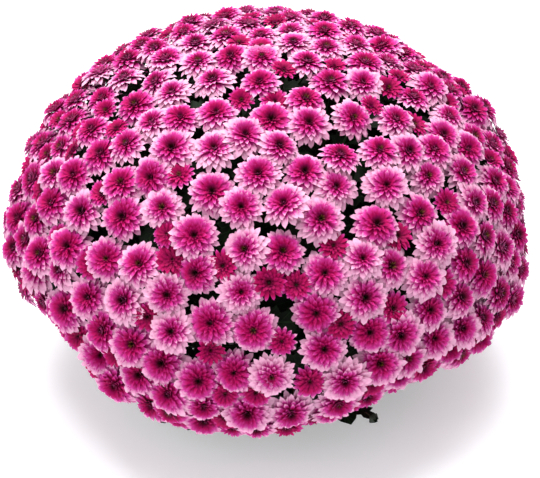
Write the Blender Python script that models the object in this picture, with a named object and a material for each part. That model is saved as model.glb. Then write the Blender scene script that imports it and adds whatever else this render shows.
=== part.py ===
"""Pot chrysanthemum: a dome of pink blooms, carried by seven leafy plants in one nursery pot."""
import math
import random

import bmesh
import bpy
from mathutils import Matrix, Vector
from mathutils.bvhtree import BVHTree
from mathutils.geometry import delaunay_2d_cdt

# Pot and soil, in metres
POT_HEIGHT = 0.150
POT_RIM_RADIUS = 0.105
POT_BASE_RADIUS = 0.076
POT_WALL = 0.0022
POT_FLOOR = 0.0030
COLLAR_HEIGHT = 0.022
COLLAR_STEP = 0.0035
POT_SIDES = 32
COLLAR_CHAMFER = 0.001
DRAIN_HOLES = 6
DRAIN_SIDES = 6
DRAIN_RADIUS = 0.006
DRAIN_CIRCLE = 0.050
SOIL_BELOW_RIM = 0.015
GAP = 0.0003
CUT_PAST = 0.010
SHARP_EDGE = math.radians(35)

# Stems
PLANTS_ROUND = 6
FOOT_CIRCLE = 0.045
FOOT_DEPTH = 0.035
HOLE_RADIUS = 0.0060
HOLE_SIDES = 6
TRUNK_RADIUS = 0.0045
TRUNK_SIDES = 5
LIMB_RADIUS = 0.0030
LIMB_SIDES = 3
LIMB_END = 0.00225
TWIG_BASE = 0.0017
TWIG_RADIUS = 0.0013
TWIG_SIDES = 3
TWIGS_PER_SPRAY = 3
HUB_SHARE = 0.66
STRAIGHT_ABOVE_SOIL = 0.006
TRUNK_LEAN_HEIGHT = 0.051
TRUNK_LEAN_SHARE = 0.35
TRUNK_STRETCHES = 3
LIMB_STRETCHES = 4
# Share of the trunk where the first limb leaves it, and how far on the next one does
FIRST_LIMB = 0.30
NEXT_LIMB = 0.05
ARCH_START = 0.072
ARCH_REACH = 0.135
ARCH_HEIGHT = 0.197
# Twigs: shares of the limb where they leave it, and how far they spread
LAST_TWIG = 0.97
TWIG_STEP = 0.07
TWIG_SPREAD = 0.20
# A twig's cut end may stand askew to the blooms' underside: this share of its radius is left free
TWIG_TILT = 0.8

# Leaves
LEAF_LENGTH = 0.056
LEAF_THICKNESS = 0.0016
LEAVES_PER_LIMB = 2
LEAF_TRIES = 60
LEAF_SHRINK = 0.45
LEAF_VARIATION = (0.85, 1.10)
LEAF_FORWARD = (0.1, 0.8)
LEAF_STEEPEST = 0.85
LEAF_SAG = 0.16
LEAF_CUP = 0.10
# Shares of the trunk and of a limb where leaves start, and where they end on both
TRUNK_LEAVES = 0.45
LIMB_LEAVES = 0.35
LAST_LEAF = 0.75
# Half outline of a lobed leaf, as shares of its length: along the rib and out from it
LEAF_LOBES = ((0.30, 0.27), (0.43, 0.13), (0.64, 0.35), (0.76, 0.15))
LEAF_RIB = 0.47
LEAF_STALK = 0.035

# Space of each plant: a sector round the middle plant's, which widens upwards
SECTOR_HALF = math.radians(28.4)
MIDDLE_RADIUS = 0.030
MIDDLE_FLARE = 0.28
PLANT_CLEARANCE = 0.002
POT_CLEARANCE = (0.012, 0.006)
UNDERSIDE_CLEARANCE = 0.004
TWIG_END_CLEARANCE = 0.006
INSIDE_SKIRT = 0.175

# Shoots that hang under the skirt, with a leaf that looks out below the blooms
SHOOT_START = 0.62
SHOOT_ANGLE = math.radians(124)
SHOOT_REACH = 0.164
SHOOT_TURN = math.radians(8)
SHOOT_BOW = 0.006
RIM_LEAF_LENGTH = 0.062
RIM_LEAF_OVERLAP = 0.002
RIM_LEAF_TIP = (0.196, 0.044)

# Dome of blooms: reach from the centre to the petal tips
DOME_CENTRE = Vector((0.0, 0.0, 0.158))
DOME_RADIUS = 0.2605
DOME_RISE = 0.216
DOME_DROP = 0.140
RIM_ANGLE = math.radians(118)
RIM_WAVE = math.radians(2.0)
RIM_WAVES = 3
RIM_PHASE = 1.0
# Each swell of the dome: azimuth and elevation in degrees, share of the reach, width in degrees
SWELLS = (
    (-100, -20, 0.060, 24),
    (-122, -18, 0.030, 10),
    (-146, -12, -0.065, 14),
    (-172, -4, 0.030, 12),
    (-55, -16, -0.050, 14),
    (-27, -12, 0.035, 12),
    (8, 24, 0.030, 14),
    (22, 42, -0.015, 10),
    (45, 52, 0.020, 18),
    (110, 56, 0.020, 18),
    (150, 42, 0.020, 16),
    (168, 26, 0.020, 14),
)

# Blooms
SEED = 29
LARGE_SPACING = 0.0294
SMALL_FROM_LARGE = 0.0246
SMALL_SPACING = 0.0236
LARGE_TRIES = 9000
SMALL_TRIES = 9000
LARGE_RADIUS = (0.0208, 0.0248)
SMALL_RADIUS = (0.0130, 0.0175)
LARGE_SUNK = (-0.0009, 0.0045)
SMALL_SUNK = (0.0030, 0.0085)
# Blooms at the top are this share smaller than those at the dome's waist
TOP_SHRINK = 0.12
UPWARD_LEAN = 0.45
PETAL_SHARE = 0.88
PETAL_DROOP = 0.0050
CENTRE_BELOW = 0.0010
TIP_LIFT = 0.0060
TIP_SINK = 0.0085
VALLEY_DEPTH = 0.0115
DEEPEST_VALLEY = 0.0190
# Share of a bloom's radius within which its petals leave no gap
DENSE_SHARE = 0.85
MID_DEPTH = 0.0110
SPLIT_LENGTH = 0.0320
BORDER_SHIFT = 0.00035
MERGE = 1e-6
UNDERSIDE_DEPTH = 0.025

# Sprays: polar angle from the top, number in the ring, azimuth of the first
SPRAY_RINGS = ((0.0, 1, 0.0), (43.0, 6, 0.0), (91.0, 12, 15.0))

PINK = (0.60, 0.07, 0.30, 1.0)
GREEN = (0.045, 0.11, 0.028, 1.0)
POT_COLOUR = (0.028, 0.026, 0.025, 1.0)
SOIL_COLOUR = (0.035, 0.022, 0.014, 1.0)


def clear_scene():
    for obj in list(bpy.data.objects):
        bpy.data.objects.remove(obj, do_unlink=True)


def material(name, colour, roughness):
    made = bpy.data.materials.new(name)
    made.use_nodes = True
    shader = made.node_tree.nodes["Principled BSDF"]
    shader.inputs["Base Color"].default_value = colour
    shader.inputs["Roughness"].default_value = roughness
    shader.inputs["Metallic"].default_value = 0.0
    return made


def new_object(name, bm, finish=None):
    mesh = bpy.data.meshes.new(name)
    bm.to_mesh(mesh)
    bm.free()
    obj = bpy.data.objects.new(name, mesh)
    bpy.context.scene.collection.objects.link(obj)
    if finish is not None:
        mesh.materials.append(finish)
    return obj


def boolean(obj, tools, operation):
    """Join or cut obj by all the tools at once, apply it, and remove the tools."""
    group = bpy.data.collections.new("tools")
    for tool in tools:
        group.objects.link(tool)
    modifier = obj.modifiers.new("join", "BOOLEAN")
    modifier.operation = operation
    modifier.operand_type = "COLLECTION"
    modifier.collection = group
    modifier.solver = "EXACT"
    graph = bpy.context.evaluated_depsgraph_get()
    result = bpy.data.meshes.new_from_object(obj.evaluated_get(graph))
    obj.modifiers.clear()
    obj.data = result
    for tool in tools:
        bpy.data.objects.remove(tool, do_unlink=True)
    bpy.data.collections.remove(group)


def polar(angle, azimuth):
    """Unit direction at an angle from +Z and an azimuth from +X."""
    flat = math.sin(angle)
    return Vector((flat * math.cos(azimuth), flat * math.sin(azimuth), math.cos(angle)))


# Shape of the dome
SWELL_DIRECTIONS = [
    (polar(math.radians(90 - elevation), math.radians(azimuth)), amount, math.radians(width))
    for azimuth, elevation, amount, width in SWELLS
]


def plain_reach(u):
    rise = DOME_RISE if u.z > 0 else DOME_DROP
    return 1 / math.sqrt((u.x * u.x + u.y * u.y) / DOME_RADIUS ** 2 + (u.z / rise) ** 2)


def reach(u):
    """Distance from the dome's centre to the petal tips in direction u."""
    share = 1.0
    for direction, amount, width in SWELL_DIRECTIONS:
        angle = math.acos(max(-1.0, min(1.0, u.dot(direction))))
        share += amount * math.exp(-(angle / width) ** 2)
    return plain_reach(u) * share


def outward(u):
    """Normal of the plain dome in direction u."""
    rise = DOME_RISE if u.z > 0 else DOME_DROP
    return Vector((u.x / DOME_RADIUS ** 2, u.y / DOME_RADIUS ** 2, u.z / rise ** 2)).normalized()


# Layout of the blooms
class Bloom:
    """One bloom: its place on the dome, its radius, the way it faces and the spray it grows on."""

    def __init__(self, direction, radius, sunk):
        self.direction = direction
        self.radius = radius * (1 - TOP_SHRINK * max(0.0, direction.z))
        level = reach(direction) - CENTRE_BELOW - sunk
        self.centre = DOME_CENTRE + direction * level
        self.axis = (outward(direction) + Vector((0, 0, UPWARD_LEAN))).normalized()
        azimuth = math.atan2(direction.y, direction.x)
        rim = RIM_ANGLE + RIM_WAVE * math.sin(RIM_WAVES * azimuth + RIM_PHASE)
        self.kept = math.acos(direction.z) < rim
        self.spray = nearest_spray(direction)


def spray_directions():
    made = []
    for angle, count, first in SPRAY_RINGS:
        for step in range(count):
            azimuth = math.radians(first + 360.0 * step / count)
            made.append(polar(math.radians(angle), azimuth))
    return made


SPRAYS = spray_directions()


def nearest_spray(u):
    return max(range(len(SPRAYS)), key=lambda k: SPRAYS[k].dot(u))


def random_direction(draw):
    z = draw.uniform(-1, 1)
    azimuth = draw.uniform(0, 2 * math.pi)
    return polar(math.acos(z), azimuth)


def bloom_layout():
    """Large blooms thrown at random, a spacing apart, and small ones in the gaps between them."""
    draw = random.Random(SEED)
    large = []
    small = []
    for _ in range(LARGE_TRIES):
        u = random_direction(draw)
        point = u * plain_reach(u)
        if all((point - q).length > LARGE_SPACING for _, q in large):
            large.append((u, point))
    for _ in range(SMALL_TRIES):
        u = random_direction(draw)
        point = u * plain_reach(u)
        if any((point - q).length < SMALL_FROM_LARGE for _, q in large):
            continue
        if all((point - q).length > SMALL_SPACING for _, q in small):
            small.append((u, point))
    blooms = []
    for u, _ in large:
        radius = draw.uniform(*LARGE_RADIUS)
        blooms.append(Bloom(u, radius, draw.uniform(*LARGE_SUNK)))
    for u, _ in small:
        radius = draw.uniform(*SMALL_RADIUS)
        blooms.append(Bloom(u, radius, draw.uniform(*SMALL_SUNK)))
    return blooms


def neighbour_faces(blooms):
    """Triangles that join each bloom to its neighbours, as index triples."""
    bm = bmesh.new()
    for bloom in blooms:
        u = bloom.direction
        bm.verts.new(u * plain_reach(u))
    bm.verts.index_update()
    bmesh.ops.convex_hull(bm, input=bm.verts, use_existing_faces=False)
    bmesh.ops.triangulate(bm, faces=bm.faces)
    faces = [tuple(v.index for v in face.verts) for face in bm.faces]
    bm.free()
    return faces


def ring_of_corners(k, blooms, faces_of, faces):
    """The triangles round bloom k in turn, each with the neighbour that the next one shares."""
    u = blooms[k].direction
    across = u.orthogonal().normalized()
    along = u.cross(across)

    def turn(face):
        middle = sum((blooms[i].direction for i in faces[face]), Vector())
        return math.atan2(middle.dot(along), middle.dot(across))

    ring = sorted(faces_of[k], key=turn)
    steps = []
    for place, face in enumerate(ring):
        following = ring[(place + 1) % len(ring)]
        shared = [i for i in faces[face] if i != k and i in faces[following]]
        steps.append((face, shared[0]))
    return steps


class BloomField:
    """All blooms, the valley corners between them and the mid points of long valleys."""

    def __init__(self):
        self.blooms = bloom_layout()
        self.faces = neighbour_faces(self.blooms)
        self.faces_of = {}
        for index, face in enumerate(self.faces):
            for i in face:
                self.faces_of.setdefault(i, []).append(index)
        self.members = {}
        for index, bloom in enumerate(self.blooms):
            if bloom.kept:
                self.members.setdefault(bloom.spray, []).append(index)

    def direction(self, key):
        kind, value = key
        if kind == "corner":
            parts = [self.blooms[i] for i in self.faces[value]]
            return sum((part.direction / part.radius for part in parts), Vector()).normalized()
        i, j = value
        a, b = self.blooms[i], self.blooms[j]
        return (a.direction * b.radius + b.direction * a.radius).normalized()

    def owners(self, key):
        kind, value = key
        return self.faces[value] if kind == "corner" else value

    def depth(self, key):
        """Depth of a valley vertex: a corner lies deeper by as much as the blooms round it stay apart."""
        if key[0] == "mid":
            return MID_DEPTH
        u = self.direction(key)
        point = DOME_CENTRE + u * reach(u)
        owners = [self.blooms[i] for i in self.owners(key)]
        apart = min((bloom.centre - point).length - bloom.radius * DENSE_SHARE for bloom in owners)
        return min(DEEPEST_VALLEY, VALLEY_DEPTH + max(0.0, apart))

    def place(self, key, spray):
        """Point of a valley vertex for one spray, shifted to its own side at a border."""
        u = self.direction(key)
        point = DOME_CENTRE + u * (reach(u) - self.depth(key))
        owners = self.owners(key)
        own = [i for i in owners if self.is_own(i, spray)]
        if len(own) < len(owners):
            side = sum((self.blooms[i].direction for i in own), Vector()).normalized() - u
            side -= u * side.dot(u)
            point += side.normalized() * BORDER_SHIFT
        return point

    def is_own(self, index, spray):
        return self.blooms[index].kept and self.blooms[index].spray == spray

    def valley_loop(self, k):
        """Corner and mid keys round bloom k, with the neighbour across each stretch."""
        steps = ring_of_corners(k, self.blooms, self.faces_of, self.faces)
        loop = []
        for place, (face, neighbour) in enumerate(steps):
            following = steps[(place + 1) % len(steps)][0]
            loop.append((("corner", face), neighbour))
            start = self.direction(("corner", face))
            end = self.direction(("corner", following))
            if (start * reach(start) - end * reach(end)).length > SPLIT_LENGTH:
                loop.append((("mid", tuple(sorted((k, neighbour)))), neighbour))
        return loop


def petal_tip(bloom, start, end):
    """Tip over the middle of a valley stretch, on the bloom's own tilted face."""
    middle = ((start + end) * 0.5 - DOME_CENTRE).normalized()
    u = bloom.direction.lerp(middle, PETAL_SHARE).normalized()
    face_point = bloom.centre - bloom.axis * PETAL_DROOP
    level = (face_point - DOME_CENTRE).dot(bloom.axis) / u.dot(bloom.axis)
    outer = reach(u)
    level = max(outer - TIP_SINK, min(outer + TIP_LIFT, level))
    return DOME_CENTRE + u * level


def lowered(point):
    u = (point - DOME_CENTRE).normalized()
    return DOME_CENTRE + u * (reach(u) - UNDERSIDE_DEPTH)


def chain(segments):
    """Put the border's stretches in order; there has to be one closed loop."""
    following = {start: end for start, end in segments}
    first = segments[0][0]
    loop = [first]
    while following[loop[-1]] != first:
        loop.append(following[loop[-1]])
    if len(loop) != len(segments):
        raise ValueError("a spray's border is not one loop")
    return loop


def spray_blooms(field, spray, name, finish):
    """The blooms of one spray as one body: petals in relief over a thin curved core."""
    bm = bmesh.new()
    verts = {}

    def vert(key):
        if key not in verts:
            verts[key] = bm.verts.new(field.place(key, spray))
        return verts[key]

    border = []
    for k in field.members[spray]:
        bloom = field.blooms[k]
        centre = bm.verts.new(bloom.centre)
        loop = field.valley_loop(k)
        for place, (key, neighbour) in enumerate(loop):
            next_key = loop[(place + 1) % len(loop)][0]
            start, end = vert(key), vert(next_key)
            tip = bm.verts.new(petal_tip(bloom, start.co, end.co))
            bm.faces.new((centre, start, tip))
            bm.faces.new((centre, tip, end))
            bm.faces.new((tip, start, end))
            if not field.is_own(neighbour, spray):
                border.append((key, next_key))
    close_underside(bm, chain(border), verts, SPRAYS[spray])
    return new_object(name, bm, finish)


def close_underside(bm, loop, verts, axis):
    """Wall down from the border, and a curved underside across it."""
    corners = [key for key in loop if key[0] == "corner"]
    low = {key: bm.verts.new(lowered(verts[key].co)) for key in corners}
    add_wall(bm, loop, verts, low)
    add_floor(bm, [low[key] for key in corners], axis)


def add_wall(bm, loop, verts, low):
    """Wall from the border to the lowered corners; a mid point has no lowered twin."""
    for place, key in enumerate(loop):
        following = loop[(place + 1) % len(loop)]
        if key[0] == "mid":
            continue
        if following[0] == "mid":
            beyond = loop[(place + 2) % len(loop)]
            bm.faces.new((verts[following], verts[key], low[key]))
            bm.faces.new((verts[beyond], verts[following], low[beyond]))
            bm.faces.new((verts[following], low[key], low[beyond]))
        else:
            bm.faces.new((verts[following], verts[key], low[key], low[following]))


def add_floor(bm, corners, axis):
    """Triangles across the lowered corners and a middle point, as seen from the dome's centre."""
    middle = bm.verts.new(lowered(DOME_CENTRE + axis))
    verts = corners + [middle]
    across = axis.orthogonal().normalized()
    along = axis.cross(across)
    flat = []
    for vert in verts:
        u = vert.co - DOME_CENTRE
        flat.append(Vector((u.dot(across), u.dot(along))) / u.dot(axis))
    count = len(corners)
    edges = [(i, (i + 1) % count) for i in range(count)]
    _, _, triangles, origins, _, _ = delaunay_2d_cdt(flat, edges, [], 1, MERGE)
    for triangle in triangles:
        face = bm.faces.new([verts[origins[i][0]] for i in triangle])
        face.normal_update()
        if face.normal.dot(axis) > 0:
            face.normal_flip()


# Pot and soil
def turned(name, profile, finish):
    """Closed solid turned round Z from points given from the bottom of the axis, out and round."""
    bm = bmesh.new()
    verts = [bm.verts.new((radius, 0, z)) for radius, z in profile]
    edges = [bm.edges.new((a, b)) for a, b in zip(verts, verts[1:])]
    bmesh.ops.spin(
        bm, geom=verts + edges, cent=(0, 0, 0), axis=(0, 0, 1), angle=2 * math.pi,
        steps=POT_SIDES, use_merge=True,
    )
    bmesh.ops.remove_doubles(bm, verts=bm.verts, dist=MERGE)
    bmesh.ops.recalc_face_normals(bm, faces=bm.faces)
    return new_object(name, bm, finish)


def smooth(obj):
    obj.data.shade_smooth()
    obj.data.set_sharp_from_angle(angle=SHARP_EDGE)


def wall_radius(z):
    """Outer radius of the pot's tapered wall at height z."""
    under_collar = POT_RIM_RADIUS - COLLAR_STEP
    return POT_BASE_RADIUS + (under_collar - POT_BASE_RADIUS) * z / POT_HEIGHT


def prism(radius, sides, low, high, centre):
    """Upright cutter between two heights."""
    bm = bmesh.new()
    bmesh.ops.create_cone(
        bm, cap_ends=True, segments=sides, radius1=radius, radius2=radius, depth=high - low,
        matrix=Matrix.Translation((centre[0], centre[1], (low + high) / 2)),
    )
    return new_object("tool", bm)


def circle_points(count, radius):
    angles = [2 * math.pi * step / count for step in range(count)]
    return [(radius * math.cos(angle), radius * math.sin(angle)) for angle in angles]


def make_pot(finish):
    collar_z = POT_HEIGHT - COLLAR_HEIGHT
    inner = POT_RIM_RADIUS - POT_WALL
    profile = [
        (0, 0),
        (POT_BASE_RADIUS, 0),
        (wall_radius(collar_z), collar_z),
        (wall_radius(collar_z) + COLLAR_STEP, collar_z + COLLAR_CHAMFER),
        (POT_RIM_RADIUS, POT_HEIGHT),
        (inner, POT_HEIGHT),
        (wall_radius(collar_z) - POT_WALL, collar_z - COLLAR_STEP),
        (wall_radius(POT_FLOOR) - POT_WALL, POT_FLOOR),
        (0, POT_FLOOR),
    ]
    pot = turned("pot", profile, finish)
    holes = circle_points(DRAIN_HOLES, DRAIN_CIRCLE)
    tools = [prism(DRAIN_RADIUS, DRAIN_SIDES, -CUT_PAST, POT_FLOOR + CUT_PAST, hole) for hole in holes]
    boolean(pot, tools, "DIFFERENCE")
    smooth(pot)


def soil_top():
    return POT_HEIGHT - SOIL_BELOW_RIM


def plant_feet():
    """Foot of each plant: one in the middle of the pot and the others round it."""
    return [(0.0, 0.0)] + circle_points(PLANTS_ROUND, FOOT_CIRCLE)


def make_soil(finish):
    collar_z = POT_HEIGHT - COLLAR_HEIGHT
    knee_z = collar_z - COLLAR_STEP
    top = soil_top()
    knee = wall_radius(collar_z) - POT_WALL - GAP
    rim = POT_RIM_RADIUS - POT_WALL - GAP
    share = (top - knee_z) / (POT_HEIGHT - knee_z)
    profile = [
        (0, POT_FLOOR + GAP),
        (wall_radius(POT_FLOOR) - POT_WALL - GAP, POT_FLOOR + GAP),
        (knee, knee_z),
        (knee + (rim - knee) * share, top),
        (0, top),
    ]
    soil = turned("soil", profile, finish)
    tools = [prism(HOLE_RADIUS, HOLE_SIDES, top - FOOT_DEPTH, top + CUT_PAST, foot) for foot in plant_feet()]
    boolean(soil, tools, "DIFFERENCE")
    smooth(soil)


# Stems and leaves
def curve_points(points, steps):
    """Points along a Bezier curve with four control points."""
    a, b, c, d = points
    made = []
    for step in range(steps + 1):
        t = step / steps
        s = 1 - t
        made.append(a * s ** 3 + b * 3 * s * s * t + c * 3 * s * t * t + d * t ** 3)
    return made


def tube(path, start_radius, end_radius, sides):
    """Closed tapering tube along a path, its rings carried along without twist."""
    bm = bmesh.new()
    rings = []
    along = (path[1] - path[0]).normalized()
    across = Vector((1, 0, 0)) if abs(along.x) < 0.9 else Vector((0, 1, 0))
    for place, point in enumerate(path):
        before = path[max(place - 1, 0)]
        after = path[min(place + 1, len(path) - 1)]
        along = (after - before).normalized()
        across = (across - along * across.dot(along)).normalized()
        side = along.cross(across)
        share = place / (len(path) - 1)
        radius = start_radius + (end_radius - start_radius) * share
        ring = []
        for step in range(sides):
            turn = 2 * math.pi * step / sides
            offset = across * math.cos(turn) + side * math.sin(turn)
            ring.append(bm.verts.new(point + offset * radius))
        rings.append(ring)
    for low, high in zip(rings, rings[1:]):
        for step in range(sides):
            other = (step + 1) % sides
            bm.faces.new((low[step], low[other], high[other], high[step]))
    bm.faces.new(list(reversed(rings[0])))
    bm.faces.new(rings[-1])
    return new_object("tube", bm)


def leaf_points(base, along, up, length):
    """Points of a lobed blade that arches down to its tip: stalk, rims, tip and rib."""
    side = up.cross(along).normalized()
    up = along.cross(side)

    def at(out, across, lift):
        sag = length * (LEAF_SAG * out * out + LEAF_CUP * abs(across))
        return base + along * (out * length) + side * (across * length) + up * (lift - sag)

    half = LEAF_THICKNESS / 2
    return {
        "stalk": [at(0, -LEAF_STALK, 0), at(0, LEAF_STALK, 0)],
        "heel": [at(0, 0, half), at(0, 0, -half)],
        "rib": [at(LEAF_RIB, 0, half), at(LEAF_RIB, 0, -half)],
        "left": [at(out, -across, 0) for out, across in LEAF_LOBES],
        "right": [at(out, across, 0) for out, across in LEAF_LOBES],
        "tip": at(1, 0, 0),
    }


def leaf(points):
    """Thin solid blade: fans from the heel and the rib to the rim, alike on both faces."""
    bm = bmesh.new()
    stalk = [bm.verts.new(p) for p in points["stalk"]]
    heel = [bm.verts.new(p) for p in points["heel"]]
    rib = [bm.verts.new(p) for p in points["rib"]]
    rims = [[bm.verts.new(p) for p in points[name]] for name in ("left", "right")]
    tip = bm.verts.new(points["tip"])
    for face in (0, 1):
        for side in (0, 1):
            rim = [stalk[side]] + rims[side] + [tip]
            bm.faces.new((heel[face], rim[0], rim[1]))
            bm.faces.new((heel[face], rim[1], rib[face]))
            for a, b in zip(rim[1:], rim[2:]):
                bm.faces.new((rib[face], a, b))
    bm.faces.new((stalk[0], heel[0], stalk[1]))
    bm.faces.new((stalk[0], stalk[1], heel[1]))
    bmesh.ops.recalc_face_normals(bm, faces=bm.faces)
    return new_object("leaf", bm)


def middle_zone(z):
    """Radius of the space that the middle plant keeps for itself at height z."""
    return MIDDLE_RADIUS + MIDDLE_FLARE * max(0.0, z - POT_HEIGHT)


def plant_azimuth(plant):
    return 2 * math.pi * (plant - 1) / PLANTS_ROUND


def in_own_sector(point, plant):
    """Whether a point lies clear of the neighbouring plants' spaces."""
    flat = math.hypot(point.x, point.y)
    if plant == 0:
        return flat < middle_zone(point.z) - PLANT_CLEARANCE
    away = math.atan2(point.y, point.x) - plant_azimuth(plant)
    away = (away + math.pi) % (2 * math.pi) - math.pi
    return abs(away) < SECTOR_HALF and flat > middle_zone(point.z) + PLANT_CLEARANCE


def allowed(point, plant, undersides):
    """Whether a point lies in its plant's own space, under the blooms and clear of the pot."""
    if not in_own_sector(point, plant):
        return False
    flat = math.hypot(point.x, point.y)
    out, over = POT_CLEARANCE
    if point.z < POT_HEIGHT + over and flat < POT_RIM_RADIUS + out:
        return False
    arm = point - DOME_CENTRE
    level = underside_level(arm.normalized(), undersides)
    if level is None:
        return flat < INSIDE_SKIRT
    return arm.length < level - UNDERSIDE_CLEARANCE


def underside_level(u, undersides):
    """Distance from the dome's centre to the blooms' underside in direction u."""
    _, _, _, distance = undersides.ray_cast(DOME_CENTRE, u)
    return distance


def place_leaf(draw, plant, base, along, undersides):
    """Try turned directions until a whole leaf lies in its plant's own space."""
    up = (Vector((0, 0, 1)) + (base - DOME_CENTRE).normalized()).normalized()
    for attempt in range(LEAF_TRIES):
        side = along.orthogonal().normalized()
        side.rotate(Matrix.Rotation(draw.uniform(0, 2 * math.pi), 3, along))
        direction = (side + along * draw.uniform(*LEAF_FORWARD)).normalized()
        if abs(direction.dot(up)) > LEAF_STEEPEST:
            continue
        length = LEAF_LENGTH * (1 - LEAF_SHRINK * attempt / LEAF_TRIES) * draw.uniform(*LEAF_VARIATION)
        points = leaf_points(base, direction, up, length)
        outer = points["left"] + points["right"] + [points["tip"]]
        if all(allowed(point, plant, undersides) for point in outer):
            return leaf(points)
    return None


def rim_shoot(plant, limb, side, undersides):
    """Shoot hanging from a skirt limb, with a leaf whose tip looks out under the blooms."""
    azimuth = plant_azimuth(plant) + SHOOT_TURN * side
    start, _ = along_path(limb, SHOOT_START)
    end = DOME_CENTRE + polar(SHOOT_ANGLE, azimuth) * SHOOT_REACH
    if underside_level(end - DOME_CENTRE, undersides) is not None:
        return []
    flat = polar(math.pi / 2, azimuth)
    bow = start.lerp(end, 0.5) - flat * SHOOT_BOW
    tip = flat * RIM_LEAF_TIP[0] + Vector((0, 0, RIM_LEAF_TIP[1]))
    along = (tip - end).normalized()
    points = leaf_points(end - along * RIM_LEAF_OVERLAP, along, Vector((0, 0, 1)), RIM_LEAF_LENGTH)
    return [tube([start, bow, end], TWIG_BASE, TWIG_RADIUS, TWIG_SIDES), leaf(points)]


def spray_of_plant(plant):
    """The sprays that a plant carries: the top one, or one of the middle ring and two of the skirt."""
    if plant == 0:
        return [0]
    skirt = 1 + PLANTS_ROUND
    first = (2 * (plant - 1) - 1) % (2 * PLANTS_ROUND)
    return [plant, skirt + first, skirt + (first + 1) % (2 * PLANTS_ROUND)]


def hub_point(spray):
    axis = SPRAYS[spray]
    return DOME_CENTRE + axis * (reach(axis) * HUB_SHARE)


def skirt_path(start, spray):
    """Limb to a skirt spray: it arches over the pot's rim."""
    flat = Vector((SPRAYS[spray].x, SPRAYS[spray].y, 0)).normalized()
    over = flat * ARCH_START + Vector((0, 0, ARCH_HEIGHT))
    beyond = flat * ARCH_REACH + Vector((0, 0, ARCH_HEIGHT))
    return curve_points([start, over, beyond, hub_point(spray)], LIMB_STRETCHES)


def trunk_path(plant):
    """Trunk from its hole in the soil up to the hub of the plant's own upper spray."""
    x, y = plant_feet()[plant]
    top = soil_top()
    base = Vector((x, y, top - FOOT_DEPTH + GAP))
    collar = Vector((x, y, top + STRAIGHT_ABOVE_SOIL))
    lean = Vector((x, y, top + TRUNK_LEAN_HEIGHT))
    hub = hub_point(plant)
    return [base] + curve_points([collar, lean, hub.lerp(lean, TRUNK_LEAN_SHARE), hub], TRUNK_STRETCHES)


def twig_targets(field, spray, plant, undersides):
    """Directions of the blooms that the twigs of a spray run to, spread round its hub."""
    axis = SPRAYS[spray]
    across = axis.orthogonal().normalized()
    along = axis.cross(across)
    chosen = []
    for step in range(TWIGS_PER_SPRAY):
        turn = 2 * math.pi * (step + 0.5) / TWIGS_PER_SPRAY
        wanted = axis + (across * math.cos(turn) + along * math.sin(turn)) * TWIG_SPREAD
        directions = [field.blooms[k].direction for k in field.members[spray]]
        for u in sorted(directions, key=wanted.dot, reverse=True):
            end = twig_end(u, TWIG_END_CLEARANCE, undersides)
            if u not in chosen and end is not None and allowed(end, plant, undersides):
                chosen.append(u)
                break
    return chosen


def twig_end(u, clearance, undersides):
    """Point under the blooms in direction u, or nothing where there are none."""
    level = underside_level(u, undersides)
    return None if level is None else DOME_CENTRE + u * (level - clearance)


def twig(start, u, undersides):
    """Twig from a limb to just under the blooms in direction u."""
    end = twig_end(u, GAP + TWIG_RADIUS * TWIG_TILT, undersides)
    return tube([start, end], TWIG_BASE, TWIG_RADIUS, TWIG_SIDES)


def along_path(path, share):
    """Point at a share of the path's stretches, and the direction there."""
    place = share * (len(path) - 1)
    low = min(int(place), len(path) - 2)
    step = path[low + 1] - path[low]
    return path[low] + step * (place - low), step.normalized()


def limb_parts(field, plant, spray, limb, first_leaf, draw, undersides):
    """Twigs to the blooms of one spray, and the leaves on its limb."""
    parts = []
    for step, u in enumerate(twig_targets(field, spray, plant, undersides)):
        start, _ = along_path(limb, LAST_TWIG - TWIG_STEP * step)
        parts.append(twig(start, u, undersides))
    for step in range(LEAVES_PER_LIMB):
        share = first_leaf + (LAST_LEAF - first_leaf) * (step + 0.5) / LEAVES_PER_LIMB
        point, along = along_path(limb, share)
        blade = place_leaf(draw, plant, point, along, undersides)
        if blade is not None:
            parts.append(blade)
    return parts


def make_plant(field, plant, undersides, finish):
    """One plant: trunk, limbs, twigs and leaves joined into one solid."""
    draw = random.Random(SEED + plant)
    path = trunk_path(plant)
    own, *skirts = spray_of_plant(plant)
    trunk = tube(path, TRUNK_RADIUS, LIMB_END, TRUNK_SIDES)
    parts = limb_parts(field, plant, own, path, TRUNK_LEAVES, draw, undersides)
    limbs = []
    for step, spray in enumerate(skirts):
        start, _ = along_path(path, FIRST_LIMB + NEXT_LIMB * step)
        limb = skirt_path(start, spray)
        limbs.append(limb)
        parts.append(tube(limb, LIMB_RADIUS, LIMB_END, LIMB_SIDES))
        parts += limb_parts(field, plant, spray, limb, LIMB_LEAVES, draw, undersides)
    if limbs:
        side = plant % 2
        parts += rim_shoot(plant, limbs[side], 2 * side - 1, undersides)
    boolean(trunk, parts, "UNION")
    trunk.name = f"plant_{plant}_stems"
    trunk.data.materials.clear()
    trunk.data.materials.append(finish)
    smooth(trunk)


def underside_tree(objects):
    """One search tree over all sprays, for rays from the dome's centre."""
    verts = []
    faces = []
    for obj in objects:
        first = len(verts)
        verts.extend(v.co.copy() for v in obj.data.vertices)
        faces.extend([first + i for i in face.vertices] for face in obj.data.polygons)
    return BVHTree.FromPolygons(verts, faces)


def main():
    clear_scene()
    pink = material("petals", PINK, 0.6)
    green = material("foliage", GREEN, 0.55)
    make_pot(material("pot plastic", POT_COLOUR, 0.5))
    make_soil(material("potting soil", SOIL_COLOUR, 0.95))
    field = BloomField()
    sprays = [spray_blooms(field, k, f"spray_{k:02d}_blooms", pink) for k in range(len(SPRAYS))]
    undersides = underside_tree(sprays)
    for plant in range(1 + PLANTS_ROUND):
        make_plant(field, plant, undersides, green)


main()
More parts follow.
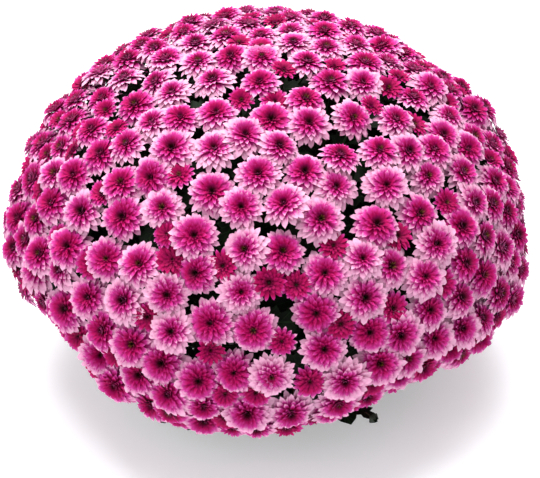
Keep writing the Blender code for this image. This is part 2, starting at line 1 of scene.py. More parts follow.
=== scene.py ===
"""Pot chrysanthemum: double pink blooms over dark leaves, with their stems, soil and nursery pot."""

import random
from math import acos, atan2, cos, exp, hypot, pi, radians, sin, sqrt, tan

import bmesh
import bpy
import numpy as np
from bpy.props import FloatProperty, FloatVectorProperty, PointerProperty
from mathutils import Matrix, Vector, noise


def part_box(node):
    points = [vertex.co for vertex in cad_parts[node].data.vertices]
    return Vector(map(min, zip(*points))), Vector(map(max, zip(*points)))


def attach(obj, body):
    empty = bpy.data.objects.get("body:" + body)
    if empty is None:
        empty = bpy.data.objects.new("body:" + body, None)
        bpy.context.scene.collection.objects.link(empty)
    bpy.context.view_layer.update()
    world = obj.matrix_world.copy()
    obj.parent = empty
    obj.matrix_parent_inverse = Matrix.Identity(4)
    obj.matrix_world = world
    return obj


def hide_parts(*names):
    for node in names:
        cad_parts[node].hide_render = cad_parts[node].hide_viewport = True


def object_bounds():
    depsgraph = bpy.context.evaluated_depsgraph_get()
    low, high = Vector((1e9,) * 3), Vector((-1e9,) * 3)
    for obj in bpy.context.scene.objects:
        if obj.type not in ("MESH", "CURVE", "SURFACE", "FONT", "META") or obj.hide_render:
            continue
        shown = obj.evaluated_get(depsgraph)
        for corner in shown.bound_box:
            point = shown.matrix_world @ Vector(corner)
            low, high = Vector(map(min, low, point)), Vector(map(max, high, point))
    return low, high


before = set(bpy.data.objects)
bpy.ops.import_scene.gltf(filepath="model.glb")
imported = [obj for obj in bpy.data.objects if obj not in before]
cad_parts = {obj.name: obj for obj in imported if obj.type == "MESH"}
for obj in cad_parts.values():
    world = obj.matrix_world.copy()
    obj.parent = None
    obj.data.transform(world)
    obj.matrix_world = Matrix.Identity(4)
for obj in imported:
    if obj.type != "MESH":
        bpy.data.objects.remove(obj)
CAD_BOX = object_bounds()

bl_info = {
    "name": "Pot Chrysanthemum",
    "version": (1, 0, 0),
    "blender": (4, 5, 0),
    "location": "3D View > Sidebar > Chrysanthemum",
    "description": "Blooms, foliage, soil, pot and studio of a pot chrysanthemum",
    "category": "Object",
}

# Dome of blooms, as in the solid model: reach from the centre to the petal tips, in metres
DOME_CENTRE = Vector((0.0, 0.0, 0.158))
DOME_RADIUS = 0.2605
DOME_RISE = 0.216
DOME_DROP = 0.140
RIM_ANGLE = radians(118)
RIM_WAVE = radians(2.0)
RIM_WAVES = 3
RIM_PHASE = 1.0
# Each swell of the dome: azimuth and elevation in degrees, share of the reach, width in degrees
SWELLS = (
    (-100, -20, 0.060, 24),
    (-122, -18, 0.030, 10),
    (-146, -12, -0.065, 14),
    (-172, -4, 0.030, 12),
    (-55, -16, -0.050, 14),
    (-27, -12, 0.035, 12),
    (8, 24, 0.030, 14),
    (22, 42, -0.015, 10),
    (45, 52, 0.020, 18),
    (110, 56, 0.020, 18),
    (150, 42, 0.020, 16),
    (168, 26, 0.020, 14),
)

# Layout of the blooms, as in the solid model
SEED = 29
LARGE_SPACING = 0.0294
SMALL_FROM_LARGE = 0.0246
SMALL_SPACING = 0.0236
LARGE_TRIES = 9000
SMALL_TRIES = 9000
LARGE_RADIUS = (0.0208, 0.0248)
SMALL_RADIUS = (0.0130, 0.0175)
LARGE_SUNK = (-0.0009, 0.0045)
SMALL_SUNK = (0.0030, 0.0085)
# Blooms at the top are this share smaller than those at the dome's waist
TOP_SHRINK = 0.12
# Blooms turn upwards, and also to the front, where the light came from, except at the back
UPWARD_LEAN = 0.45
FRONT_LEAN = 0.36
CENTRE_BELOW = 0.0010
# Sprays: polar angle from the top, number in the ring, azimuth of the first
SPRAY_RINGS = ((0.0, 1, 0.0), (43.0, 6, 0.0), (91.0, 12, 15.0))

# Stems, as in the solid model
PLANTS_ROUND = 6
FOOT_CIRCLE = 0.045
FOOT_DEPTH = 0.035
TRUNK_RADIUS = 0.0045
LIMB_RADIUS = 0.0030
LIMB_END = 0.00225
TWIG_BASE = 0.0017
TWIG_RADIUS = 0.0013
HUB_SHARE = 0.66
STRAIGHT_ABOVE_SOIL = 0.006
TRUNK_LEAN_HEIGHT = 0.051
TRUNK_LEAN_SHARE = 0.35
FIRST_LIMB = 0.30
NEXT_LIMB = 0.05
ARCH_START = 0.072
ARCH_REACH = 0.135
ARCH_HEIGHT = 0.197
SHOOT_START = 0.62
SHOOT_ANGLE = radians(124)
SHOOT_REACH = 0.164
SHOOT_TURN = radians(8)
SHOOT_BOW = 0.006
RIM_LEAF_LENGTH = 0.062
RIM_LEAF_TIP = (0.196, 0.044)
BUD_TURN = radians(7)
BUD_PLACE = (0.200, 0.056)
BUD_SAG = 0.010
BUD_LENGTH = 0.013
BUD_LEAF_LENGTH = 0.034
# Angle of a leaf at its root and at its tip, in degrees over the line that it leaves along
LEAF_BEND = (35, -35)
RIM_LEAF_BEND = (12, -14)
BUD_LEAF_BEND = (12, -20)

# Petals of a bloom, ring by ring from the outside: number, width, and the place of the roots and of
# the tips as radius and height, all as shares of the bloom's radius, and how far they arch in degrees
LARGE_RINGS = (
    (13, 0.33, (0.10, -0.16), (1.00, -0.25), 50),
    (13, 0.31, (0.10, -0.14), (0.93, -0.12), 50),
    (13, 0.28, (0.09, -0.12), (0.81, 0.02), 46),
    (13, 0.24, (0.08, -0.10), (0.68, 0.14), 42),
    (12, 0.20, (0.07, -0.08), (0.55, 0.24), 36),
    (11, 0.17, (0.06, -0.06), (0.42, 0.31), 28),
    (10, 0.14, (0.05, -0.04), (0.30, 0.34), 18),
    (8, 0.11, (0.04, -0.02), (0.19, 0.32), 8),
    (5, 0.08, (0.02, 0.00), (0.10, 0.25), 4),
)
SMALL_RINGS = (
    (14, 0.31, (0.14, -0.14), (1.00, 0.00), 34),
    (13, 0.28, (0.12, -0.12), (0.85, 0.11), 26),
    (12, 0.24, (0.10, -0.10), (0.68, 0.19), 20),
    (10, 0.20, (0.07, -0.08), (0.50, 0.24), 14),
    (8, 0.16, (0.04, -0.06), (0.32, 0.24), 8),
    (5, 0.12, (0.02, -0.02), (0.15, 0.19), 4),
)


FULL_TURN = 2 * pi


def linear(code):
    """Linear colour of an sRGB hex code."""
    parts = [int(code[place:place + 2], 16) / 255 for place in (0, 2, 4)]
    return tuple(c / 12.92 if c <= 0.04045 else ((c + 0.055) / 1.055) ** 2.4 for c in parts)


def colour_property(name, description, code):
    return FloatVectorProperty(
        name=name, description=description, subtype="COLOR", size=3, min=0, max=1, default=linear(code),
    )


def number_property(name, description, default, low, high, **more):
    return FloatProperty(name=name, description=description, default=default, min=low, max=high, **more)


class PetalSettings(bpy.types.PropertyGroup):
    """Colours and sizes of the petals."""

    # Heart colour: partly the deep colour of the unopened petals, partly painted shade of the bloom's cupped
    # centre
    heart: colour_property("Heart", "Innermost petals, unopened and nearly black", "26030C")
    eye: colour_property("Eye", "Tips of the innermost petals of some blooms", "6A5018")
    deep: colour_property("Deep", "Upper face of the inner petals", "AC0052")
    middle: colour_property("Middle", "Where the deep pink fades", "C4308E")
    pale: colour_property("Pale", "Tips of the outer petals", "E6A5C6")
    reverse: colour_property("Reverse", "Lower face of the petals", "D47FB6")
    thickness: number_property(
        "Petal thickness", "At the middle of a petal", 0.00022, 0.0001, 0.001, precision=5, unit="LENGTH",
    )


class FoliageSettings(bpy.types.PropertyGroup):
    """Colours and sizes of the leaves and stems."""

    # Leaf and vein colours: the leaves' own dark green, darkened further with painted shade of the deep gaps
    # between the blooms
    leaf: colour_property("Leaf", "Upper face of the leaves", "081207")
    vein: colour_property("Vein", "Ribs and veins of the leaves", "1A2C14")
    stem: colour_property("Stem", "Young stems and stalks", "2E4420")
    bark: colour_property("Bark", "Woody foot of the stems", "5C4630")
    leaf_length: number_property(
        "Leaf length", "Of a full-grown leaf", 0.056, 0.02, 0.09, precision=4, unit="LENGTH",
    )


class PotSettings(bpy.types.PropertyGroup):
    """Colours and sizes of the pot and the soil in it."""

    plastic: colour_property("Plastic", "Moulded pot", "1C1B1B")
    peat: colour_property("Peat", "Potting soil", "2E2018")
    perlite: colour_property("Perlite", "White grains in the soil", "D8D4CA")
    wall: number_property(
        "Pot wall", "Thickness of the pot's wall", 0.0016, 0.0008, 0.0022, precision=4, unit="LENGTH",
    )


class StudioSettings(bpy.types.PropertyGroup):
    """Floor, light and camera."""

    floor: colour_property("Floor", "Pale floor", "EFF4F6")
    floor_glow: number_property("Floor glow", "Light that the floor gives from below", 0.32, 0, 2)
    sky: number_property("Sky", "Strength of the white surround", 0.55, 0, 5)
    key: number_property("Key light", "Power of the soft light above", 76, 0, 500, unit="POWER")
    lens: number_property("Lens", "Focal length of the camera", 98.13, 20, 300, unit="CAMERA")


class PlantSettings(bpy.types.PropertyGroup):
    """All the settings of the pot chrysanthemum."""

    petals: PointerProperty(type=PetalSettings)
    foliage: PointerProperty(type=FoliageSettings)
    pot: PointerProperty(type=PotSettings)
    studio: PointerProperty(type=StudioSettings)


def settings():
    return bpy.context.scene.pot_chrysanthemum


# Shape of the dome
def polar(angle, azimuth):
    """Unit direction at an angle from +Z and an azimuth from +X."""
    flat = sin(angle)
    return Vector((flat * cos(azimuth), flat * sin(azimuth), cos(angle)))


SWELL_DIRECTIONS = [
    (polar(radians(90 - elevation), radians(azimuth)), amount, radians(width))
    for azimuth, elevation, amount, width in SWELLS
]


def plain_reach(u):
    rise = DOME_RISE if u.z > 0 else DOME_DROP
    return 1 / sqrt((u.x * u.x + u.y * u.y) / DOME_RADIUS ** 2 + (u.z / rise) ** 2)


def reach(u):
    """Distance from the dome's centre to the petal tips in direction u."""
    share = 1.0
    for direction, amount, width in SWELL_DIRECTIONS:
        angle = acos(max(-1.0, min(1.0, u.dot(direction))))
        share += amount * exp(-(angle / width) ** 2)
    return plain_reach(u) * share


def outward(u):
    """Normal of the plain dome in direction u."""
    rise = DOME_RISE if u.z > 0 else DOME_DROP
    return Vector((u.x / DOME_RADIUS ** 2, u.y / DOME_RADIUS ** 2, u.z / rise ** 2)).normalized()


# Layout of the blooms
class Bloom:
    """One bloom: its place on the dome, its radius, the way it faces and the spray it grows on."""

    def __init__(self, direction, radius, sunk, large):
        self.direction = direction
        self.radius = radius * (1 - TOP_SHRINK * max(0.0, direction.z))
        self.large = large
        self.centre = DOME_CENTRE + direction * (reach(direction) - CENTRE_BELOW - sunk)
        away = outward(direction)
        lean = Vector((0, -FRONT_LEAN * (1 - away.y) / 2, UPWARD_LEAN))
        self.axis = (away + lean).normalized()
        azimuth = atan2(direction.y, direction.x)
        rim = RIM_ANGLE + RIM_WAVE * sin(RIM_WAVES * azimuth + RIM_PHASE)
        self.kept = acos(direction.z) < rim
        self.spray = max(range(len(SPRAYS)), key=lambda k: SPRAYS[k].dot(direction))


def spray_directions():
    made = []
    for angle, count, first in SPRAY_RINGS:
        for step in range(count):
            made.append(polar(radians(angle), radians(first + 360.0 * step / count)))
    return made


SPRAYS = spray_directions()


def thrown(draw, tries, spacing, others, clear):
    """Directions thrown at random, whose points on the plain dome lie a spacing apart, clear of others."""
    found = []
    for _ in range(tries):
        z = draw.uniform(-1, 1)
        u = polar(acos(z), draw.uniform(0, FULL_TURN))
        point = u * plain_reach(u)
        if any((point - q).length < clear for _, q in others):
            continue
        if all((point - q).length > spacing for _, q in found):
            found.append((u, point))
    return found


def bloom_layout():
    """Large blooms, and small ones in the gaps between them."""
    draw = random.Random(SEED)
    large = thrown(draw, LARGE_TRIES, LARGE_SPACING, [], 0)
    small = thrown(draw, SMALL_TRIES, SMALL_SPACING, large, SMALL_FROM_LARGE)
    blooms = []
    for found, radii, depths in ((large, LARGE_RADIUS, LARGE_SUNK), (small, SMALL_RADIUS, SMALL_SUNK)):
        for u, _ in found:
            radius = draw.uniform(*radii)
            blooms.append(Bloom(u, radius, draw.uniform(*depths), found is large))
    return [bloom for bloom in blooms if bloom.kept]


BLOOMS = bloom_layout()


# Modelling by hand
UP = Vector((0, 0, 1))
# Points this near each other are merged, and points this near a line count as on it
MERGED = 0.0005
NEAR = 0.001
# The least turn of an arc, in radians, because a straight one has no radius
LEAST_TURN = 0.001
# Every point of the petals and leaves keeps this far inside the box of the solids
BOX_INSET = 0.0003
INNER_BOX = (np.array(CAD_BOX[0]) + BOX_INSET, np.array(CAD_BOX[1]) - BOX_INSET)
# Edges sharper than these stay sharp
BLADE_EDGE = radians(75)
POT_EDGE = radians(40)


def select_only(obj):
    bpy.ops.object.select_all(action="DESELECT")
    obj.select_set(True)
    bpy.context.view_layer.objects.active = obj


def linked(name, data):
    """New object that shows the data in the scene."""
    obj = bpy.data.objects.new(name, data)
    bpy.context.scene.collection.objects.link(obj)
    return obj


def primitive(operator, **sizes):
    """Add a primitive with nothing else selected."""
    bpy.ops.object.select_all(action="DESELECT")
    operator(**sizes)
    return bpy.context.object


def start_piece(operator, **sizes):
    """Add a primitive, and go into edit mode on it."""
    obj = primitive(operator, **sizes)
    bpy.ops.object.mode_set(mode="EDIT")
    return obj


def pick(obj, kind, test):
    """In edit mode, select the vertices, edges or faces that pass a test, and nothing else."""
    bpy.ops.mesh.select_mode(type=kind)
    bpy.ops.mesh.select_all(action="DESELECT")
    bm = bmesh.from_edit_mesh(obj.data)
    for item in {"VERT": bm.verts, "EDGE": bm.edges, "FACE": bm.faces}[kind]:
        item.select_set(test(item))
    bmesh.update_edit_mesh(obj.data)


def apply_all(obj):
    select_only(obj)
    for modifier in list(obj.modifiers):
        bpy.ops.object.modifier_apply(modifier=modifier.name)


def join_into(obj, other):
    select_only(obj)
    other.select_set(True)
    bpy.ops.object.join()


def finish_piece(obj, name, node, material=None):
    """Name a finished piece, give it its material if it has none yet, and let it stand for its node."""
    obj.name = name
    obj.data.name = name
    if material:
        obj.data.materials.clear()
        obj.data.materials.append(material)
    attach(obj, "root")
    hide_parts(node)


class Blade:
    """A flat closed blade, one unit long and two wide, modelled once and copied for petals or leaves."""

    def __init__(self, stations):
        grid = bpy.ops.mesh.primitive_grid_add
        obj = start_piece(grid, x_subdivisions=2, y_subdivisions=len(stations) + 1, size=2)
        rows = sorted({round(v.co.y, 4) for v in bmesh.from_edit_mesh(obj.data).verts})
        outline = [(0, 0, 0)] + list(stations) + [(1, 0, 0)]
        for y, (along, width, forward) in reversed(list(zip(rows, outline))):
            pick(obj, "VERT", lambda v: abs(v.co.y - y) < NEAR)
            bpy.ops.transform.resize(value=(width, 1, 1), center_override=(0, y, 0))
            bpy.ops.transform.translate(value=(0, along - y, 0))
            if forward:
                pick(obj, "VERT", lambda v: abs(v.co.y - along) < NEAR < abs(v.co.x))
                bpy.ops.transform.translate(value=(0, forward, 0))
        bpy.ops.mesh.select_all(action="SELECT")
        bpy.ops.mesh.remove_doubles(threshold=MERGED)
        bpy.ops.mesh.quads_convert_to_tris()
        pick(obj, "VERT", lambda v: abs(v.co.x) < NEAR < v.co.y < 1 - NEAR)
        bpy.ops.transform.translate(value=(0, 0, 1))
        bpy.ops.mesh.select_all(action="SELECT")
        bpy.ops.mesh.duplicate()
        bpy.ops.transform.resize(value=(1, 1, -1), center_override=(0, 0, 0))
        bpy.ops.mesh.select_all(action="SELECT")
        bpy.ops.mesh.remove_doubles(threshold=MERGED)
        bpy.ops.mesh.normals_make_consistent(inside=False)
        bpy.ops.object.mode_set(mode="OBJECT")
        points = np.array([v.co for v in obj.data.vertices])
        self.across, self.along, self.level = points.T
        self.faces = np.array([face.vertices for face in obj.data.polygons])
        self.under = np.array([face.normal.z < 0 for face in obj.data.polygons], float)
        bpy.data.objects.remove(obj, do_unlink=True)


class Blades:
    """Copies of one blade, each with its own frame, arc, cup and twist, bent and joined in arrays."""

    def __init__(self, blade):
        self.blade = blade
        self.rows = []

    def add(self, origin, out, up, **values):
        """One copy: it leaves origin along out, and its upper face looks along up."""
        side = up.cross(out)
        self.rows.append({"frame": (origin, out, side, up), **values})

    def column(self, name):
        return np.array([row[name] for row in self.rows])[:, None]

    def bent(self):
        """Points of all the copies, and their distance from the line that they grow round."""
        blade = self.blade
        length, width = self.column("length"), self.column("width")
        start = self.column("start")
        turn = self.column("end") - start
        turn = np.where(np.abs(turn) < LEAST_TURN, LEAST_TURN, turn)
        angle = start + turn * blade.along
        out = self.column("root") + length * (np.sin(angle) - np.sin(start)) / turn
        up = self.column("height") + length * (np.cos(start) - np.cos(angle)) / turn
        wide = blade.across * width / 2
        lift = blade.level * self.column("thickness") / 2
        lift = lift + np.abs(blade.across) * self.column("cup") * width
        twist = self.column("twist") * blade.along
        side = wide * np.cos(twist) - lift * np.sin(twist)
        side = side + self.column("sway") * length * blade.along ** 2
        lift = wide * np.sin(twist) + lift * np.cos(twist)
        out = out - lift * np.sin(angle)
        up = up + lift * np.cos(angle)
        frames = np.array([[tuple(v) for v in row["frame"]] for row in self.rows])
        points = frames[:, None, 0]
        for values, axis in zip((out, side, up), (1, 2, 3)):
            points = points + values[..., None] * frames[:, None, axis]
        return points, np.hypot(out, side)

    def faces(self, first):
        starts = first + np.arange(len(self.rows)) * len(self.blade.along)
        return self.blade.faces[None] + starts[:, None, None]


def joined(name, groups, tint):
    """One mesh of all the blades in the groups, with what their material reads kept as attributes."""
    points, faces, places, tints, unders = [], [], [], [], []
    count = 0
    for group in groups:
        if not group.rows:
            continue
        bent, away = group.bent()
        shape = away.shape
        faces.append(group.faces(count).reshape(-1, 3))
        count += away.size
        points.append(bent.reshape(-1, 3))
        along, across, chance = (
            np.broadcast_to(values, shape)
            for values in (group.blade.along, group.blade.across, group.column("chance"))
        )
        places.append(np.stack([along, across, chance], axis=-1).reshape(-1, 3))
        tints.append(np.stack(tint(group, along, across, away), axis=-1).reshape(-1, 3))
        unders.append(np.tile(group.blade.under, len(group.rows)))
    points = np.clip(np.concatenate(points), *INNER_BOX)
    mesh = bpy.data.meshes.new(name)
    mesh.from_pydata(points.tolist(), [], np.concatenate(faces).tolist())
    for attribute, values in (("blade_place", places), ("blade_tint", tints)):
        made = mesh.attributes.new(attribute, "FLOAT_VECTOR", "POINT")
        made.data.foreach_set("vector", np.concatenate(values).ravel())
    made = mesh.attributes.new("blade_under", "FLOAT", "FACE")
    made.data.foreach_set("value", np.concatenate(unders))
    mesh.shade_smooth()
    mesh.set_sharp_from_angle(angle=BLADE_EDGE)
    return linked(name, mesh)


# Materials
# Half width of a leaf's rib over half the leaf's, and of a side vein over the spacing of side veins
VEIN_WIDTH = 0.09
# Stems are woody up to the first height, at the pot's rim, and green from the second
WOODY_HEIGHTS = (0.15, 0.23)
COLOURS = {"data_type": "RGBA"}


def feed(tree, node, inputs):
    """Set a node's inputs, by name or number, or link them to sockets, or to the first output of nodes."""
    for name, value in inputs.items():
        socket = node.inputs[int(name[1:])] if name[0] == "_" else node.inputs[name.replace("_", " ")]
        if isinstance(value, bpy.types.Node):
            value = value.outputs[0]
        if isinstance(value, bpy.types.NodeSocket):
            tree.links.new(value, socket)
        else:
            socket.default_value = value


def add(tree, kind, stops=(), options=None, **inputs):
    """Add a node, with its options, the stops of its ramp, and its inputs."""
    made = tree.nodes.new("ShaderNode" + kind)
    for name, value in (options or {}).items():
        setattr(made, name, value)
    feed(tree, made, inputs)
    for place, (position, colour) in enumerate(stops):
        elements = made.color_ramp.elements
        element = elements[place] if place < len(elements) else elements.new(position)
        element.position = position
        element.color = (*colour, 1)
    return made


def shade(tree, **inputs):
    """Set or link inputs of the material's shader."""
    feed(tree, tree.nodes["Principled BSDF"], inputs)


def new_material(name, **inputs):
    made = bpy.data.materials.new(name)
    made.use_nodes = True
    shade(made.node_tree, **inputs)
    return made, made.node_tree


def mixed(first, second, share):
    return tuple(a + (b - a) * share for a, b in zip(first, second))


def petal_velvet():
    """Ray florets: moist thin cells in lengthwise rows, so velvety, faintly streaked and translucent."""
    colours = settings().petals
    made, tree = new_material(
        "petal velvet", Roughness=0.70, IOR=1.24, Subsurface_Weight=0.10, Subsurface_Scale=0.002,
        Subsurface_Radius=(1.0, 0.35, 0.6),
    )
    place, under, tint = (
        add(tree, "Attribute", options={"attribute_name": name})
        for name in ("blade_place", "blade_under", "blade_tint")
    )
    share = add(tree, "SeparateXYZ", Vector=tint.outputs["Vector"])
    # Rows of cells show as streaks: ten across a petal of 6 mm, so 0.6 mm wide, coarser than real, to be
    # seen. The third scale gives each petal streaks of its own
    rows = add(tree, "Mapping", Vector=place.outputs["Vector"], Scale=(1.2, 5.0, 40.0))
    streaks = add(tree, "TexNoise", Vector=rows, Scale=1.0, Detail=2.0, Roughness=0.6)
    fade = add(
        tree, "Math", options={"operation": "MULTIPLY_ADD"},
        _0=streaks, _1=STREAK_FADE, _2=share.outputs["Y"],
    )
    # The first stop of both ramps darkens towards the heart: deep colour, and painted shade of the cupped
    # centre as well
    upper = add(tree, "ValToRGB", Fac=fade, stops=(
        (0.15, mixed(colours.deep, colours.heart, 0.35)), (0.48, colours.deep),
        (0.61, mixed(colours.deep, colours.middle, 0.6)), (0.70, colours.middle),
        (0.81, mixed(colours.middle, colours.pale, 0.65)), (0.93, colours.pale),
    ))
    lower = add(tree, "ValToRGB", Fac=fade, stops=(
        (0.20, mixed(colours.deep, colours.heart, 0.3)),
        (0.45, mixed(colours.middle, colours.reverse, 0.3)),
        (0.70, colours.reverse), (1.0, mixed(colours.reverse, colours.pale, 0.6)),
    ))
    colour = add(tree, "Mix", options=COLOURS, _0=under.outputs["Fac"], _6=upper, _7=lower)
    # The near-black heart is partly painted shade of the cupped centre
    closed, opened = HEART_SHARE
    open_share = add(tree, "MapRange", _0=share.outputs["X"], _1=closed, _2=opened)
    heart = add(
        tree, "Mix", options=COLOURS, _0=share.outputs["Z"],
        _6=(*colours.heart, 1), _7=(*colours.eye, 1),
    )
    whole = add(tree, "Mix", options=COLOURS, _0=open_share, _6=heart.outputs[2], _7=colour.outputs[2])
    bump = add(tree, "Bump", Strength=0.35, Distance=0.0003, Height=streaks)
    shade(tree, Base_Color=whole.outputs[2], Normal=bump)
    return made


def leaf_wax():
    """Leaves: waxy dark green above, partly their own colour and partly painted shade of the gaps between
    the blooms, grey felt below, with a rib and side veins.
    """
    colours = settings().foliage
    made, tree = new_material("leaf wax", Roughness=0.60, IOR=1.22)
    under = add(tree, "Attribute", options={"attribute_name": "blade_under"})
    tint = add(tree, "Attribute", options={"attribute_name": "blade_tint"})
    phase = add(tree, "SeparateXYZ", Vector=tint.outputs["Vector"])
    wave = add(tree, "Math", options={"operation": "PINGPONG"}, _0=phase.outputs["Y"], _1=0.5)
    side_vein = add(tree, "MapRange", _0=wave, _1=0.0, _2=VEIN_WIDTH, _3=1.0, _4=0.0)
    rib = add(tree, "MapRange", _0=phase.outputs["X"], _1=0.0, _2=VEIN_WIDTH, _3=1.0, _4=0.0)
    vein = add(tree, "Math", options={"operation": "MAXIMUM"}, _0=side_vein, _1=rib)
    spot = add(tree, "TexCoord").outputs["Object"]
    # Blotches of about 12 mm
    blotch = add(tree, "TexNoise", Vector=spot, Scale=80.0, Detail=3.0)
    green = add(tree, "ValToRGB", Fac=blotch, stops=(
        (0.3, mixed(colours.leaf, (0, 0, 0), 0.35)), (0.7, mixed(colours.leaf, colours.vein, 0.25)),
    ))
    felt = add(
        tree, "Mix", options=COLOURS, _0=under.outputs["Fac"],
        _6=green, _7=(*mixed(colours.vein, (0.25, 0.25, 0.25), 0.2), 1),
    )
    veined = add(tree, "Mix", options=COLOURS, _0=vein, _6=felt.outputs[2], _7=(*colours.vein, 1))
    bump = add(tree, "Bump", options={"invert": True}, Strength=0.5, Distance=0.0006, Height=vein)
    shade(tree, Base_Color=veined.outputs[2], Normal=bump)
    return made


def stem_skin():
    """Stems: green and finely ridged, and brown and woody near the soil."""
    colours = settings().foliage
    made, tree = new_material("stem skin", Roughness=0.6, IOR=1.42)
    spot = add(tree, "TexCoord").outputs["Object"]
    height = add(tree, "SeparateXYZ", Vector=spot).outputs["Z"]
    woody, green = WOODY_HEIGHTS
    age = add(tree, "MapRange", _0=height, _1=woody, _2=green, _3=1.0, _4=0.0)
    # Ridges every 2 mm, drawn long by the squeezed Z
    long = add(tree, "Mapping", Vector=spot, Scale=(1.0, 1.0, 0.15))
    ridges = add(tree, "TexNoise", Vector=long, Scale=500.0, Detail=3.0)
    tint = add(tree, "Mix", options=COLOURS, _0=age, _6=(*colours.stem, 1), _7=(*colours.bark, 1))
    ridged = add(
        tree, "Mix", options={**COLOURS, "blend_type": "MULTIPLY"}, _0=0.6,
        _6=tint.outputs[2], _7=ridges.outputs["Color"],
    )
    bump = add(tree, "Bump", Strength=0.4, Distance=0.0004, Height=ridges)
    shade(tree, Base_Color=ridged.outputs[2], Normal=bump)
    return made


def moulded_plastic():
    """Pot: black polypropylene, injection moulded with a fine matt grain and dusty high spots."""
    colours = settings().pot
    made, tree = new_material("moulded plastic", IOR=1.49)
    spot = add(tree, "TexCoord").outputs["Object"]
    # Grain of 0.5 mm from the mould, and dust in clouds of 25 mm
    grain = add(tree, "TexNoise", Vector=spot, Scale=2000.0, Detail=2.0)
    dust = add(tree, "TexNoise", Vector=spot, Scale=40.0, Detail=5.0)
    tint = add(tree, "ValToRGB", Fac=dust, stops=(
        (0.35, colours.plastic), (0.75, mixed(colours.plastic, colours.peat, 0.5)),
    ))
    rough = add(tree, "MapRange", _0=dust, _1=0.3, _2=0.7, _3=0.42, _4=0.6)
    bump = add(tree, "Bump", Strength=0.25, Distance=0.0001, Height=grain)
    shade(tree, Base_Color=tint, Roughness=rough, Normal=bump)
    return made


def damp_peat():
    """Potting soil: damp fibrous peat, dark and rough, with lighter fibres."""
    colours = settings().pot
    made, tree = new_material("damp peat", Roughness=0.95, IOR=1.33)
    spot = add(tree, "TexCoord").outputs["Object"]
    # Crumbs of 3 mm, and fibres as finer noise in them
    crumbs = add(tree, "TexVoronoi", Vector=spot, Scale=330.0)
    fibres = add(tree, "TexNoise", Vector=spot, Scale=900.0, Detail=4.0)
    tint = add(tree, "ValToRGB", Fac=fibres, stops=(
        (0.3, mixed(colours.peat, (0, 0, 0), 0.5)), (0.75, mixed(colours.peat, colours.perlite, 0.12)),
    ))
    bump = add(tree, "Bump", Strength=0.9, Distance=0.002, Height=crumbs)
    shade(tree, Base_Color=tint, Normal=bump)
    return made


def foamed_perlite():
    """Perlite: volcanic glass blown to white crumbs, chalky and pitted."""
    colours = settings().pot
    made, tree = new_material("foamed perlite", Roughness=0.9, IOR=1.5)
    spot = add(tree, "TexCoord").outputs["Object"]
    # Pits of 0.7 mm
    pits = add(tree, "TexNoise", Vector=spot, Scale=1400.0, Detail=3.0)
    tint = add(tree, "ValToRGB", Fac=pits, stops=(
        (0.35, mixed(colours.perlite, colours.peat, 0.35)), (0.6, colours.perlite),
    ))
    shade(tree, Base_Color=tint)
    return made


# Blooms
def across_and_along(axis, spin):
    """Two directions across an axis, turned round it by spin."""
    across = axis.orthogonal().normalized()
    across.rotate(Matrix.Rotation(spin, 3, axis))
    return across, axis.cross(across)


def swung(first, second, angle):
    return first * cos(angle) + second * sin(angle)


def varied(draw, ranges):
    """A number from each range, drawn in the order of the ranges."""
    return {name: draw.uniform(*span) for name, span in ranges.items()}


PETAL_SEED = 61
# Blades with more stations go to the outer rings, whose outline shows
PETAL_STATIONS = (
    ((0.28, 0.44, 0), (0.64, 1.0, 0), (0.87, 0.66, 0)),
    ((0.45, 0.78, 0), (0.83, 0.80, 0)),
    ((0.62, 1.0, 0),),
)
# Large and small blooms: rings, blade of each ring, range of ripeness, and range of opening in degrees
LARGE_KIND = (LARGE_RINGS, (0, 0, 1, 1, 1, 2, 2, 2, 2), (0.35, 0.95), (-9, 7))
SMALL_KIND = (SMALL_RINGS, (0, 0, 1, 1, 2, 2), (-0.5, 0.10), (-4, 14))
# Each petal: its turn in steps of its ring, length and width over those of the ring, degrees at its root
# and at its tip, cup over its width, twist in radians, and sway over its length
PETAL_RANGES = {
    "turn": (-0.16, 0.16), "length": (0.99, 1.12), "width": (0.88, 1.10), "start": (-4, 4), "end": (-15, 14),
    "cup": (0.08, 0.24), "twist": (-0.35, 0.35), "sway": (-0.05, 0.05),
}
# Shift of the whole bloom along its axis, as a share of its radius, so that the tips lie as in the solids
BLOOM_SHIFT = -0.26
# Spread of each part of the vector that tilts a bloom's axis, which is one long
BLOOM_TILT = tan(radians(13)) / 2
GRAVITY_DROOP = radians(16)
# Tips of the outer petals may lie this far beyond those of the solids
TIP_MARGIN = 0.0030
TIPS_LOOKED_AT = 8
# Colour of a petal: the parts that its place on the bloom and its place along the petal play in the fade
FADE_FROM_BLOOM = 0.66
FADE_FROM_PETAL = 0.34
RIPE_FADE = 0.34
CHANCE_FADE = 0.10
STREAK_FADE = 0.30
# The heart is dark, partly the deep colour of its unopened petals and partly painted shade of the cupped
# centre, up to the first share of the radius, and has opened at the second, times its size
HEART_SHARE = (0.05, 0.24)
HEART_SIZES = (0.6, 1.4)
EYE_CHANCE = 0.3


def arc(root, tip, arch):
    """Length, first and last angle of the arc from a petal's root to its tip, with so much arch."""
    out, up = tip[0] - root[0], tip[1] - root[1]
    half = radians(arch) / 2
    chord = hypot(out, up)
    slope = atan2(up, out)
    return chord * half / sin(half), slope + half, slope - half


def drawn_in(bloom, centre, axis, first, second, tip):
    """The centre of a bloom, drawn in until its outermost tips keep to the dome."""
    over = 0.0
    for step in range(TIPS_LOOKED_AT):
        out = swung(first, second, FULL_TURN * step / TIPS_LOOKED_AT)
        arm = centre + (out * tip[0] + axis * tip[1]) * bloom.radius - DOME_CENTRE
        over = max(over, arm.length - reach(arm.normalized()) - TIP_MARGIN)
    return centre - bloom.direction * over


